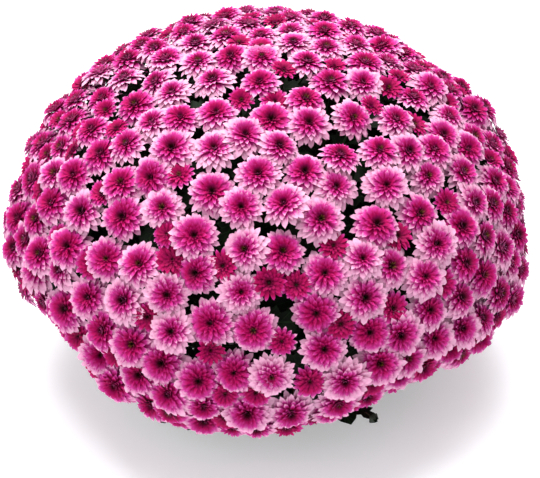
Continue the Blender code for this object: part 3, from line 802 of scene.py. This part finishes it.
def bloom_petals(bloom, groups, draw):
    """The petals of one bloom, ring by ring, as copies in the groups of their blades."""
    tilt = Vector([draw.gauss(0, 1) for _ in range(3)]) * BLOOM_TILT
    axis = (bloom.axis + tilt).normalized()
    first, second = across_and_along(axis, draw.uniform(0, FULL_TURN))
    rings, blades, ripeness, openings = LARGE_KIND if bloom.large else SMALL_KIND
    ripe = draw.uniform(*ripeness)
    heart = draw.uniform(*HEART_SIZES)
    eye = draw.random() < EYE_CHANCE
    opening = draw.uniform(*openings)
    centre = bloom.centre + axis * (BLOOM_SHIFT * bloom.radius)
    centre = drawn_in(bloom, centre, axis, first, second, rings[0][3])
    for ring, (count, width, root, tip, arch) in enumerate(rings):
        length, start, end = arc(root, tip, arch)
        for step in range(count):
            form = varied(draw, PETAL_RANGES)
            # Petals stand in front of the gaps of the ring outside theirs
            out = swung(first, second, FULL_TURN * (step + ring / 2 + form["turn"]) / count)
            droop = GRAVITY_DROOP * max(0.0, -out.z) * (1 - ring / len(rings))
            form.update(
                length=length * bloom.radius * form["length"], width=width * bloom.radius * form["width"],
                start=start + radians(opening + form["start"]),
                end=end + radians(opening + form["end"]) - droop,
            )
            groups[blades[ring]].add(
                centre, out, axis, **form, root=root[0] * bloom.radius, height=root[1] * bloom.radius,
                thickness=settings().petals.thickness, radius=bloom.radius, chance=draw.random(),
                ripe=ripe, heart=heart, eye=float(eye and ring == len(rings) - 1),
            )


def petal_tint(group, along, across, away):
    """How far from the heart, how far faded from deep to pale, and how much of the bloom's eye."""
    share = away / group.column("radius")
    fade = share * FADE_FROM_BLOOM + along * FADE_FROM_PETAL
    fade = fade + (group.column("ripe") - 0.5) * RIPE_FADE
    fade = fade + (group.column("chance") - 0.5) * CHANCE_FADE - STREAK_FADE / 2
    return share / group.column("heart"), fade, along * group.column("eye")


class CHRYSANTHEMUM_OT_blooms(bpy.types.Operator):
    """Make the blooms of every spray, petal by petal"""

    bl_idname = "chrysanthemum.blooms"
    bl_label = "Blooms"
    bl_options = {"REGISTER", "UNDO"}

    def execute(self, context):
        blades = [Blade(stations) for stations in PETAL_STATIONS]
        velvet = petal_velvet()
        draw = random.Random(PETAL_SEED)
        for spray in range(len(SPRAYS)):
            groups = [Blades(blade) for blade in blades]
            for bloom in BLOOMS:
                if bloom.spray == spray:
                    bloom_petals(bloom, groups, draw)
            obj = joined(f"spray_{spray:02d}_flowers", groups, petal_tint)
            finish_piece(obj, obj.name, f"spray_{spray:02d}_blooms", velvet)
        return {"FINISHED"}


# Stems and leaves
LEAF_SEED = 17
# Half outline of a lobed leaf: along the rib, out from it, and how far the rim is drawn forwards
LEAF_STATIONS = (
    (0.05, 0.07, 0), (0.14, 0.09, 0), (0.22, 0.45, 0.02), (0.31, 0.80, 0.05), (0.40, 0.42, 0.02),
    (0.50, 0.78, 0.05), (0.60, 1.0, 0.07), (0.68, 0.52, 0.03), (0.78, 0.66, 0.06), (0.88, 0.46, 0.04),
    (0.95, 0.22, 0.01),
)
LEAF_WIDTH = 0.62
LEAF_THICKNESS = 0.00045
# Shares of a limb and of a stalk where leaves grow, and the size of a stalk's leaves over the others'
LIMB_LEAVES = (0.3, 0.42, 0.52, 0.62, 0.7, 0.78, 0.85, 0.92)
STALK_LEAVES = (0.42, 0.60, 0.76)
STALK_LEAF_SIZE = 0.90
# Each leaf: width over the usual one, degrees at its root and at its tip, and its form as a petal's
LEAF_RANGES = {
    "width": (0.9, 1.1), "start": (-8, 8), "end": (-15, 15),
    "cup": (0.03, 0.12), "twist": (-0.5, 0.5), "sway": (-0.12, 0.12),
}
LEAF_SIZES = (0.8, 1.1)
# Leaves stand a golden angle apart, lean forwards along their stem, and turn their upper face up
GOLDEN_ANGLE = radians(137.5)
LEAF_FORWARD = (0.1, 0.7)
LEAF_UPWARD = 0.4
# A leaf that finds no room is tried again, turned on and this share smaller
LEAF_TRIES = 6
LEAF_SHRINK = 0.08
# Leaf tips stay this deep under the petal tips, and this high above the pot's rim or far beside it
LEAF_DEPTH = 0.023
LEAF_OVER_POT = 0.004
LEAF_BESIDE_POT = 0.010
SEPAL_STATIONS = ((0.55, 1.0, 0),)
SEPALS = 6
SEPAL_CUP = 0.05
# Degrees at the root and at the tip of a sepal: open behind a bloom, and shut over a bud
CUP_BEND = (-12, 28)
BUD_BEND = (5, 145)
# Length and width of the sepals, over the bloom's radius, and how far behind the bloom they start
CUP_SIZE = (0.30, 0.26)
CUP_BEHIND = 0.22
# Width of a bud's sepals over their length
BUD_WIDTH = 0.60
SOIL_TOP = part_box("soil")[1].z
SOIL_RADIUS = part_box("soil")[1].x
POT_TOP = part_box("pot")[1].z
POT_RIM_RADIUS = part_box("pot")[1].x
# Stalks leave a limb at a share of it and run on along it for a share of their span, and they meet the
# bloom behind its middle after the last share of the span
STALK_RADII = (0.0013, 0.0010)
STALK_FROM = (0.66, 0.99)
STALK_ALONG = 0.25
STALK_BEHIND = 0.16
STALK_LAST = 0.35
# Shares of the way from a shoot to its bud where the bud's stalk bends
BUD_STALK_BENDS = (0.4, 0.8)
# Number of stretches in a limb's path, in a shoot's and in a stalk's
LIMB_STEPS = 12
SHOOT_STEPS = 8
STALK_STEPS = 6
# Side veins leave the rib forwards, six to a leaf of 56 mm, so about 9 mm apart
SIDE_VEINS = 6.0
VEIN_SLANT = 2.2


def curve_points(points, steps):
    """Points along a Bezier curve with four control points."""
    a, b, c, d = points
    made = []
    for step in range(steps + 1):
        t = step / steps
        s = 1 - t
        made.append(a * s ** 3 + b * 3 * s * s * t + c * 3 * s * t * t + d * t ** 3)
    return made


def along_path(path, share):
    """Point at a share of the path's stretches, and the direction there."""
    place = share * (len(path) - 1)
    low = min(int(place), len(path) - 2)
    step = path[low + 1] - path[low]
    return path[low] + step * (place - low), step.normalized()


def around(azimuth, radius):
    """Point at an azimuth and a distance from the upright axis, at the height of the ground."""
    return polar(pi / 2, azimuth) * radius


def plant_azimuth(plant):
    return FULL_TURN * (plant - 1) / PLANTS_ROUND


def plant_foot(plant):
    return around(plant_azimuth(plant), FOOT_CIRCLE) if plant else Vector((0, 0, 0))


def sprays_of_plant(plant):
    """The sprays that a plant carries: the top one, or one of the middle ring and two of the skirt."""
    if plant == 0:
        return [0]
    skirt = 1 + PLANTS_ROUND
    first = (2 * (plant - 1) - 1) % (2 * PLANTS_ROUND)
    return [plant, skirt + first, skirt + (first + 1) % (2 * PLANTS_ROUND)]


def hub_point(spray):
    axis = SPRAYS[spray]
    return DOME_CENTRE + axis * (reach(axis) * HUB_SHARE)


def trunk_path(plant):
    """Trunk from the soil up to the hub of the plant's own upper spray."""
    foot = plant_foot(plant)
    base, collar, lean = (
        foot + UP * (SOIL_TOP + height) for height in (-FOOT_DEPTH, STRAIGHT_ABOVE_SOIL, TRUNK_LEAN_HEIGHT)
    )
    hub = hub_point(plant)
    return [base] + curve_points([collar, lean, hub.lerp(lean, TRUNK_LEAN_SHARE), hub], LIMB_STEPS)


def skirt_path(start, spray):
    """Limb to a skirt spray: it arches over the pot's rim."""
    flat = Vector((SPRAYS[spray].x, SPRAYS[spray].y, 0)).normalized()
    over, beyond = (flat * away + UP * ARCH_HEIGHT for away in (ARCH_START, ARCH_REACH))
    return curve_points([start, over, beyond, hub_point(spray)], LIMB_STEPS)


def stalk_path(limb, bloom, draw):
    """Stalk from the limb to the back of a bloom, which it meets along the bloom's axis."""
    start, along = along_path(limb, draw.uniform(*STALK_FROM))
    end = bloom.centre + bloom.axis * (bloom.radius * (BLOOM_SHIFT - STALK_BEHIND))
    span = (end - start).length
    leaving, meeting = start + along * span * STALK_ALONG, end - bloom.axis * span * STALK_LAST
    return curve_points([start, leaving, meeting, end], STALK_STEPS)


def leaf_copy(group, base, out, up, length, draw, bend=LEAF_BEND):
    """Add one leaf that leaves base along out and bends over to its tip."""
    up = (up - out * up.dot(out)).normalized()
    form = varied(draw, LEAF_RANGES)
    form.update(
        width=length * LEAF_WIDTH * form["width"],
        start=radians(bend[0] + form["start"]),
        end=radians(bend[1] + form["end"]),
    )
    group.add(
        base, out, up, **form, root=0.0, height=0.0, length=length, thickness=LEAF_THICKNESS,
        chance=draw.random(),
    )


def leaves_on(group, path, shares, length, draw):
    """Leaves along a stem, each turned by the golden angle, kept under the blooms and off the pot."""
    turn = draw.uniform(0, FULL_TURN)
    for share in shares:
        base, along = along_path(path, share)
        for attempt in range(LEAF_TRIES):
            turn += GOLDEN_ANGLE
            across, _ = across_and_along(along, turn)
            out = (across + along * draw.uniform(*LEAF_FORWARD)).normalized()
            size = length * draw.uniform(*LEAF_SIZES) * (1 - LEAF_SHRINK * attempt)
            tip = base + out * size
            arm = tip - DOME_CENTRE
            deep = arm.length < reach(arm.normalized()) - LEAF_DEPTH
            above = tip.z > POT_TOP + LEAF_OVER_POT
            if deep and (above or hypot(tip.x, tip.y) > POT_RIM_RADIUS + LEAF_BESIDE_POT):
                leaf_copy(group, base, out, along + UP * LEAF_UPWARD, size, draw)
                break


def stem_tubes(name, paths):
    """Tapering tubes along paths, each with its first and last radius, as one closed mesh."""
    curve = bpy.data.curves.new(name, "CURVE")
    curve.dimensions = "3D"
    curve.bevel_depth = 1.0
    curve.bevel_resolution = 1
    curve.use_fill_caps = True
    for path, first, last in paths:
        spline = curve.splines.new("POLY")
        spline.points.add(len(path) - 1)
        for place, point in enumerate(path):
            spline.points[place].co = (*point, 1)
            spline.points[place].radius = first + (last - first) * place / (len(path) - 1)
    obj = linked(name, curve)
    select_only(obj)
    bpy.ops.object.convert(target="MESH")
    return obj


def sepals(group, base, axis, draw, root, length, width, bend):
    """Ring of sepals, as the green cup behind a bloom or round an unopened bud."""
    first, second = across_and_along(axis, draw.uniform(0, FULL_TURN))
    start, end = map(radians, bend)
    for step in range(SEPALS):
        group.add(
            base, swung(first, second, FULL_TURN * step / SEPALS), axis, root=root, height=0.0,
            length=length, width=width, start=start, end=end, cup=SEPAL_CUP, twist=0.0, sway=0.0,
            thickness=LEAF_THICKNESS, chance=draw.random(),
        )


def rim_shoot(plant, limb, side, stems, group, cups, draw):
    """Shoot hanging from a skirt limb: a leaf and a bud on it look out under the blooms."""
    azimuth = plant_azimuth(plant) + SHOOT_TURN * side
    start, _ = along_path(limb, SHOOT_START)
    end = DOME_CENTRE + polar(SHOOT_ANGLE, azimuth) * SHOOT_REACH
    bow = start.lerp(end, 0.5) - around(azimuth, SHOOT_BOW)
    stems.append((curve_points([start, bow, bow, end], SHOOT_STEPS), TWIG_BASE, TWIG_RADIUS))
    tip = around(azimuth, RIM_LEAF_TIP[0]) + UP * RIM_LEAF_TIP[1]
    leaf_copy(group, end, (tip - end).normalized(), UP, RIM_LEAF_LENGTH, draw, RIM_LEAF_BEND)
    bud = around(azimuth - BUD_TURN * side, BUD_PLACE[0]) + UP * BUD_PLACE[1]
    low, high = (end.lerp(bud, share) for share in BUD_STALK_BENDS)
    stalk = curve_points([end, low - UP * BUD_SAG, high, bud], STALK_STEPS)
    stems.append((stalk, *STALK_RADII))
    wrap = (stalk[-1] - stalk[-2]).normalized()
    sepals(cups, bud, wrap, draw, 0.0, BUD_LENGTH, BUD_LENGTH * BUD_WIDTH, BUD_BEND)
    side_leaf = around(azimuth - 2 * BUD_TURN * side, 1)
    leaf_copy(group, stalk[len(stalk) // 2], side_leaf, UP, BUD_LEAF_LENGTH, draw, BUD_LEAF_BEND)


def leaf_tint(group, along, across, away):
    """Distance from the rib, and the place of the side veins as a number that each one makes whole."""
    wide = np.abs(across)
    return wide, along * SIDE_VEINS - wide * VEIN_SLANT, np.zeros(wide.shape)


class CHRYSANTHEMUM_OT_foliage(bpy.types.Operator):
    """Make the seven plants: stems, stalks to every bloom, sepals and lobed leaves"""

    bl_idname = "chrysanthemum.foliage"
    bl_label = "Foliage"
    bl_options = {"REGISTER", "UNDO"}

    def execute(self, context):
        leaf, sepal = Blade(LEAF_STATIONS), Blade(SEPAL_STATIONS)
        wax, skin = leaf_wax(), stem_skin()
        draw = random.Random(LEAF_SEED)
        for plant in range(1 + PLANTS_ROUND):
            self.make_plant(plant, leaf, sepal, wax, skin, draw)
        return {"FINISHED"}

    def make_plant(self, plant, leaf, sepal, wax, skin, draw):
        length = settings().foliage.leaf_length
        leaves, cups = Blades(leaf), Blades(sepal)
        trunk = trunk_path(plant)
        own, *skirts = sprays_of_plant(plant)
        stems = [(trunk, TRUNK_RADIUS, LIMB_END)]
        limbs = [(own, trunk)]
        leaves_on(leaves, trunk, LIMB_LEAVES, length, draw)
        for step, spray in enumerate(skirts):
            start, _ = along_path(trunk[1:], FIRST_LIMB + NEXT_LIMB * step)
            limb = skirt_path(start, spray)
            limbs.append((spray, limb))
            stems.append((limb, LIMB_RADIUS, LIMB_END))
            leaves_on(leaves, limb, LIMB_LEAVES, length, draw)
        if skirts:
            side = plant % 2
            rim_shoot(plant, limbs[1 + side][1], 2 * side - 1, stems, leaves, cups, draw)
        for spray, limb in limbs:
            for bloom in BLOOMS:
                if bloom.spray != spray:
                    continue
                stalk = stalk_path(limb, bloom, draw)
                stems.append((stalk, *STALK_RADII))
                leaves_on(leaves, stalk, STALK_LEAVES, length * STALK_LEAF_SIZE, draw)
                base = bloom.centre + bloom.axis * (bloom.radius * (BLOOM_SHIFT - CUP_BEHIND))
                size, wide = (bloom.radius * share for share in CUP_SIZE)
                sepals(cups, base, bloom.axis, draw, STALK_RADII[1] / 2, size, wide, CUP_BEND)
        green = joined(f"plant_{plant}_leaves", [leaves, cups], leaf_tint)
        tubes = stem_tubes(f"plant_{plant}_foliage", stems)
        green.data.materials.append(wax)
        tubes.data.materials.append(skin)
        join_into(tubes, green)
        finish_piece(tubes, f"plant_{plant}_foliage", f"plant_{plant}_stems")


# Pot and soil
POT_BASE_RADIUS = 0.076
POT_FLOOR = 0.0030
COLLAR_HEIGHT = 0.022
COLLAR_STEP = 0.0035
# Rings of the pot's profile, as steps of radius and height from the edge of its base, from the foot of
# its collar and from its rim; the last two are on the inner side, where the wall's thickness comes off
FOOT_STEPS = ((-0.0060, 0.0012), (-0.0054, 0.0), (-0.0012, 0.0), (-0.0003, 0.0004))
COLLAR_STEPS = ((-0.0002, -0.0008), (0.0004, 0.0), (0.0022, 0.0003), (0.0026, 0.0012))
RIM_STEPS = ((-0.0012, -0.0042), (-0.0006, -0.0034))
INNER_RIM_STEPS = ((-0.0011, -0.0034),)
INNER_COLLAR_STEPS = ((0.0021, 0.003), (0.0, -0.004))
# Heights of the rings on the plain wall, outside and inside
OUTER_HEIGHTS = (0.0016, 0.020, 0.050, 0.090, 0.118)
INNER_HEIGHTS = (0.090, 0.050, 0.020, 0.006)
FLOOR_FILLET = 0.0020
# Round bead on the rim, turned in steps from below its outer side over the top to its inner side
BEAD = 0.0011
BEAD_STEPS = 6
BEAD_START = -20
BEAD_SWEEP = 200
POT_ROUND = 96
DRAIN_HOLES = 6
DRAIN_RADIUS = 0.006
DRAIN_CIRCLE = 0.050
DRAIN_ROUND = 24
# Long enough to cut through the floor from above and below
DRAIN_CUT = 0.02


def wall_radius(z):
    """Outer radius of the pot's tapering wall at a height."""
    return POT_BASE_RADIUS + (POT_RIM_RADIUS - COLLAR_STEP - POT_BASE_RADIUS) * z / POT_TOP


def pot_profile():
    """Radius and height of each ring of the pot: underside, foot, wall, collar, bead, and back inside."""
    wall = settings().pot.wall
    foot = (POT_BASE_RADIUS, 0.0)
    rim = (POT_RIM_RADIUS, POT_TOP)
    collar = (wall_radius(POT_TOP - COLLAR_HEIGHT), POT_TOP - COLLAR_HEIGHT)

    def rings(place, steps, inset=0.0):
        return [(place[0] + out - inset, place[1] + up) for out, up in steps]

    def on_wall(heights, inset=0.0):
        return [(wall_radius(z) - inset, z) for z in heights]

    turns = [radians(BEAD_START + BEAD_SWEEP * step / BEAD_STEPS) for step in range(BEAD_STEPS + 1)]
    bead = [(BEAD * (cos(turn) - 1), BEAD * (sin(turn) - 1)) for turn in turns]
    return [
        *rings(foot, FOOT_STEPS), *on_wall(OUTER_HEIGHTS), *rings(collar, COLLAR_STEPS),
        *rings(rim, RIM_STEPS), *rings(rim, bead), *rings(rim, INNER_RIM_STEPS, wall),
        *rings(collar, INNER_COLLAR_STEPS, wall), *on_wall(INNER_HEIGHTS, wall),
        *on_wall((POT_FLOOR,), wall + FLOOR_FILLET),
    ]


def turned(profile, sides):
    """Closed turned piece: a filled circle, extruded and resized ring by ring, and filled at the end."""
    radius, z = profile[0]
    circle = bpy.ops.mesh.primitive_circle_add
    obj = start_piece(circle, vertices=sides, radius=radius, fill_type="NGON", location=(0, 0, z))
    pick(obj, "EDGE", lambda e: True)
    for wide, high in profile[1:]:
        bpy.ops.mesh.extrude_edges_move()
        bpy.ops.transform.resize(value=(wide / radius, wide / radius, 1), center_override=(0, 0, z))
        bpy.ops.transform.translate(value=(0, 0, high - z))
        radius, z = wide, high
    bpy.ops.mesh.edge_face_add()
    bpy.ops.mesh.select_all(action="SELECT")
    bpy.ops.mesh.normals_make_consistent(inside=False)
    bpy.ops.object.mode_set(mode="OBJECT")
    bpy.ops.object.transform_apply(location=True, rotation=True, scale=True)
    return obj


class CHRYSANTHEMUM_OT_pot(bpy.types.Operator):
    """Make the nursery pot with its foot, collar, bead and drain holes"""

    bl_idname = "chrysanthemum.pot"
    bl_label = "Pot"
    bl_options = {"REGISTER", "UNDO"}

    def execute(self, context):
        pot = turned(pot_profile(), POT_ROUND)
        for step in range(DRAIN_HOLES):
            place = around(FULL_TURN * step / DRAIN_HOLES, DRAIN_CIRCLE)
            cutter = primitive(
                bpy.ops.mesh.primitive_cylinder_add,
                vertices=DRAIN_ROUND, radius=DRAIN_RADIUS, depth=DRAIN_CUT, location=place,
            )
            cut = pot.modifiers.new("drain", "BOOLEAN")
            cut.operation = "DIFFERENCE"
            cut.object = cutter
            apply_all(pot)
            bpy.data.objects.remove(cutter, do_unlink=True)
        select_only(pot)
        bpy.ops.object.shade_smooth_by_angle(angle=POT_EDGE)
        finish_piece(pot, "nursery_pot", "pot", moulded_plastic())
        return {"FINISHED"}


SOIL_SEED = 5
CRUMBS = 420
CRUMB_SIZE = (0.0012, 0.0034)
PERLITE_SHARE = 0.22
# Depth and height of a crumb over its width: bark is flat, and perlite is nearly round
CRUMB_DEPTH = (0.6, 1.0)
BARK_HEIGHT = (0.25, 0.5)
PERLITE_HEIGHT = (0.7, 1.0)
CRUMB_TILT = (-0.5, 0.5)
CRUMB_DENTS = (0.8, 1.1)
# Crumbs stay this far from the wall, and their middles stand this share of their size over the soil
CRUMBS_FROM_WALL = 0.004
CRUMB_RISE = 0.3
SOIL_ROUND = 72
SOIL_RINGS = 22
# The soil's surface lies this far below the top of its solid on average, with a relief in lumps of about
# 11 mm, which fades out on the last stretch to the wall
SOIL_SETTLED = 0.0026
SOIL_RELIEF = 0.0022
SOIL_LUMPS = 90
SOIL_LEVEL_EDGE = 0.012
# Dimension, lacunarity and octaves of its noise
SOIL_NOISE = (0.8, 2.2, 4)
# How far the soil lies inside the pot's outer side at the floor and under the collar, its rounding at the
# floor, how far under the collar it widens, and how far its upper edge lies below its top
SOIL_FLOOR_GAP = 0.0020
SOIL_WALL_GAP = 0.0028
SOIL_ROUNDING = (0.001, 0.002)
SOIL_KNEE_DROP = 0.004
SOIL_EDGE_DROP = 0.003


def soil_level(x, y):
    """Height of the crumbly soil surface, level at the pot's wall."""
    rough = noise.fractal(Vector((x, y, 0)) * SOIL_LUMPS, *SOIL_NOISE)
    edge = min(1.0, (SOIL_RADIUS - hypot(x, y)) / SOIL_LEVEL_EDGE)
    return SOIL_TOP - SOIL_SETTLED + SOIL_RELIEF * max(-1.0, min(1.0, rough)) * max(0.0, edge)


def soil_body():
    """Soil: a turned body with rings across its top, which are lifted to a crumbly surface."""
    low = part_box("soil")[0].z
    base = POT_BASE_RADIUS - settings().pot.wall - SOIL_FLOOR_GAP
    knee = POT_TOP - COLLAR_HEIGHT
    profile = [
        (base - SOIL_ROUNDING[0], low), (base, low + SOIL_ROUNDING[1]),
        (wall_radius(knee) - SOIL_WALL_GAP, knee - SOIL_KNEE_DROP),
        (SOIL_RADIUS, SOIL_TOP - SOIL_EDGE_DROP),
    ]
    profile += [(SOIL_RADIUS * (1 - step / SOIL_RINGS), SOIL_TOP) for step in range(1, SOIL_RINGS)]
    obj = turned(profile, SOIL_ROUND)
    for vert in obj.data.vertices:
        if vert.co.z > SOIL_TOP - NEAR:
            vert.co.z = soil_level(vert.co.x, vert.co.y)
    return obj


def crumbs(finishes):
    """Crumbs of bark and perlite on the soil: one faceted grain, copied, squashed and turned."""
    draw = random.Random(SOIL_SEED)
    grain = primitive(bpy.ops.mesh.primitive_ico_sphere_add, subdivisions=1, radius=1)
    shape = [v.co.copy() for v in grain.data.vertices]
    sides = [tuple(face.vertices) for face in grain.data.polygons]
    bpy.data.objects.remove(grain, do_unlink=True)
    points, faces, kinds = [], [], []
    for _ in range(CRUMBS):
        away = (SOIL_RADIUS - CRUMBS_FROM_WALL) * sqrt(draw.random())
        spot = around(draw.uniform(0, FULL_TURN), away)
        size = draw.uniform(*CRUMB_SIZE) / 2
        white = draw.random() < PERLITE_SHARE
        depth = draw.uniform(*CRUMB_DEPTH)
        squash = Vector((1, depth, draw.uniform(*(PERLITE_HEIGHT if white else BARK_HEIGHT))))
        turn = Matrix.Rotation(draw.uniform(0, FULL_TURN), 3, "Z")
        turn = turn @ Matrix.Rotation(draw.uniform(*CRUMB_TILT), 3, "X")
        spot.z = min(soil_level(spot.x, spot.y) + size * CRUMB_RISE, SOIL_TOP - size)
        first = len(points)
        points += [spot + turn @ (v * squash * size * draw.uniform(*CRUMB_DENTS)) for v in shape]
        faces += [[first + i for i in side] for side in sides]
        kinds += [int(white)] * len(sides)
    mesh = bpy.data.meshes.new("crumbs")
    mesh.from_pydata(points, [], faces)
    for finish in finishes:
        mesh.materials.append(finish)
    mesh.polygons.foreach_set("material_index", kinds)
    return linked("crumbs", mesh)


class CHRYSANTHEMUM_OT_soil(bpy.types.Operator):
    """Make the potting soil with its crumbs and perlite"""

    bl_idname = "chrysanthemum.soil"
    bl_label = "Soil"
    bl_options = {"REGISTER", "UNDO"}

    def execute(self, context):
        finishes = (damp_peat(), foamed_perlite())
        soil = soil_body()
        soil.data.materials.append(finishes[0])
        join_into(soil, crumbs(finishes))
        finish_piece(soil, "potting_soil", "soil")
        return {"FINISHED"}


# Studio
VIEW_ELEVATION = radians(31)
VIEW_DISTANCE = 1.5
# The dome's centre stands this far right of the picture's middle and above it, in the camera's plane
FRAMING = (-0.00204, 0.00917)
SENSOR = 36.0
NEAREST_SEEN = 0.05
FLOOR_SIZE = 12
# Lights: name, place, size, and share of the key light's power
LIGHTS = (
    ("key light", (-0.1, 0.20, 2.1), 1.7, 1.0),
    ("fill light", (-1.0, -1.6, 1.3), 1.2, 0.15),
)


class CHRYSANTHEMUM_OT_studio(bpy.types.Operator):
    """Set up the pale floor, the soft light and the camera"""

    bl_idname = "chrysanthemum.studio"
    bl_label = "Studio"
    bl_options = {"REGISTER", "UNDO"}

    def execute(self, context):
        self.make_floor()
        self.make_light(context)
        self.make_camera(context)
        context.scene.view_settings.view_transform = "Standard"
        return {"FINISHED"}

    def make_floor(self):
        floor = primitive(bpy.ops.mesh.primitive_plane_add, size=FLOOR_SIZE)
        floor.name = "floor"
        made, _ = new_material(
            "lit white acrylic", Base_Color=(*settings().studio.floor, 1), Roughness=0.9,
            Emission_Color=(1, 1, 1, 1), Emission_Strength=settings().studio.floor_glow,
        )
        floor.data.materials.append(made)

    def make_light(self, context):
        world = bpy.data.worlds.new("white surround")
        context.scene.world = world
        world.use_nodes = True
        background = world.node_tree.nodes["Background"]
        background.inputs["Color"].default_value = (1, 1, 1, 1)
        background.inputs["Strength"].default_value = settings().studio.sky
        for name, place, size, share in LIGHTS:
            data = bpy.data.lights.new(name, "AREA")
            data.energy = settings().studio.key * share
            data.size = size
            light = linked(name, data)
            light.location = place
            light.rotation_euler = (DOME_CENTRE - light.location).to_track_quat("-Z", "Y").to_euler()

    def make_camera(self, context):
        data = bpy.data.cameras.new("camera")
        data.lens = settings().studio.lens
        data.sensor_width = SENSOR
        data.clip_start = NEAREST_SEEN
        camera = linked("camera", data)
        back = Vector((0, -cos(VIEW_ELEVATION), sin(VIEW_ELEVATION)))
        up = Vector((0, sin(VIEW_ELEVATION), cos(VIEW_ELEVATION)))
        aim = DOME_CENTRE - Vector((FRAMING[0], 0, 0)) - up * FRAMING[1]
        camera.location = aim + back * VIEW_DISTANCE
        camera.rotation_euler = (-back).to_track_quat("-Z", "Y").to_euler()
        context.scene.camera = camera


class CHRYSANTHEMUM_PT_panel(bpy.types.Panel):
    """Settings and steps of the pot chrysanthemum"""

    bl_idname = "CHRYSANTHEMUM_PT_panel"
    bl_label = "Pot Chrysanthemum"
    bl_space_type = "VIEW_3D"
    bl_region_type = "UI"
    bl_category = "Chrysanthemum"

    def draw(self, context):
        plant = context.scene.pot_chrysanthemum
        for group, operator in (
            (plant.studio, "chrysanthemum.studio"),
            (plant.pot, "chrysanthemum.pot"),
            (plant.pot, "chrysanthemum.soil"),
            (plant.foliage, "chrysanthemum.foliage"),
            (plant.petals, "chrysanthemum.blooms"),
        ):
            box = self.layout.box()
            for name in group.__annotations__:
                box.prop(group, name)
            box.operator(operator)


CLASSES = (
    PetalSettings,
    FoliageSettings,
    PotSettings,
    StudioSettings,
    PlantSettings,
    CHRYSANTHEMUM_OT_studio,
    CHRYSANTHEMUM_OT_pot,
    CHRYSANTHEMUM_OT_soil,
    CHRYSANTHEMUM_OT_foliage,
    CHRYSANTHEMUM_OT_blooms,
    CHRYSANTHEMUM_PT_panel,
)


def register():
    for cls in CLASSES:
        bpy.utils.register_class(cls)
    bpy.types.Scene.pot_chrysanthemum = PointerProperty(type=PlantSettings)


def unregister():
    del bpy.types.Scene.pot_chrysanthemum
    for cls in reversed(CLASSES):
        bpy.utils.unregister_class(cls)


def main():
    register()
    bpy.ops.chrysanthemum.studio()
    bpy.ops.chrysanthemum.pot()
    bpy.ops.chrysanthemum.soil()
    bpy.ops.chrysanthemum.foliage()
    bpy.ops.chrysanthemum.blooms()


if __name__ == "__main__":
    main()
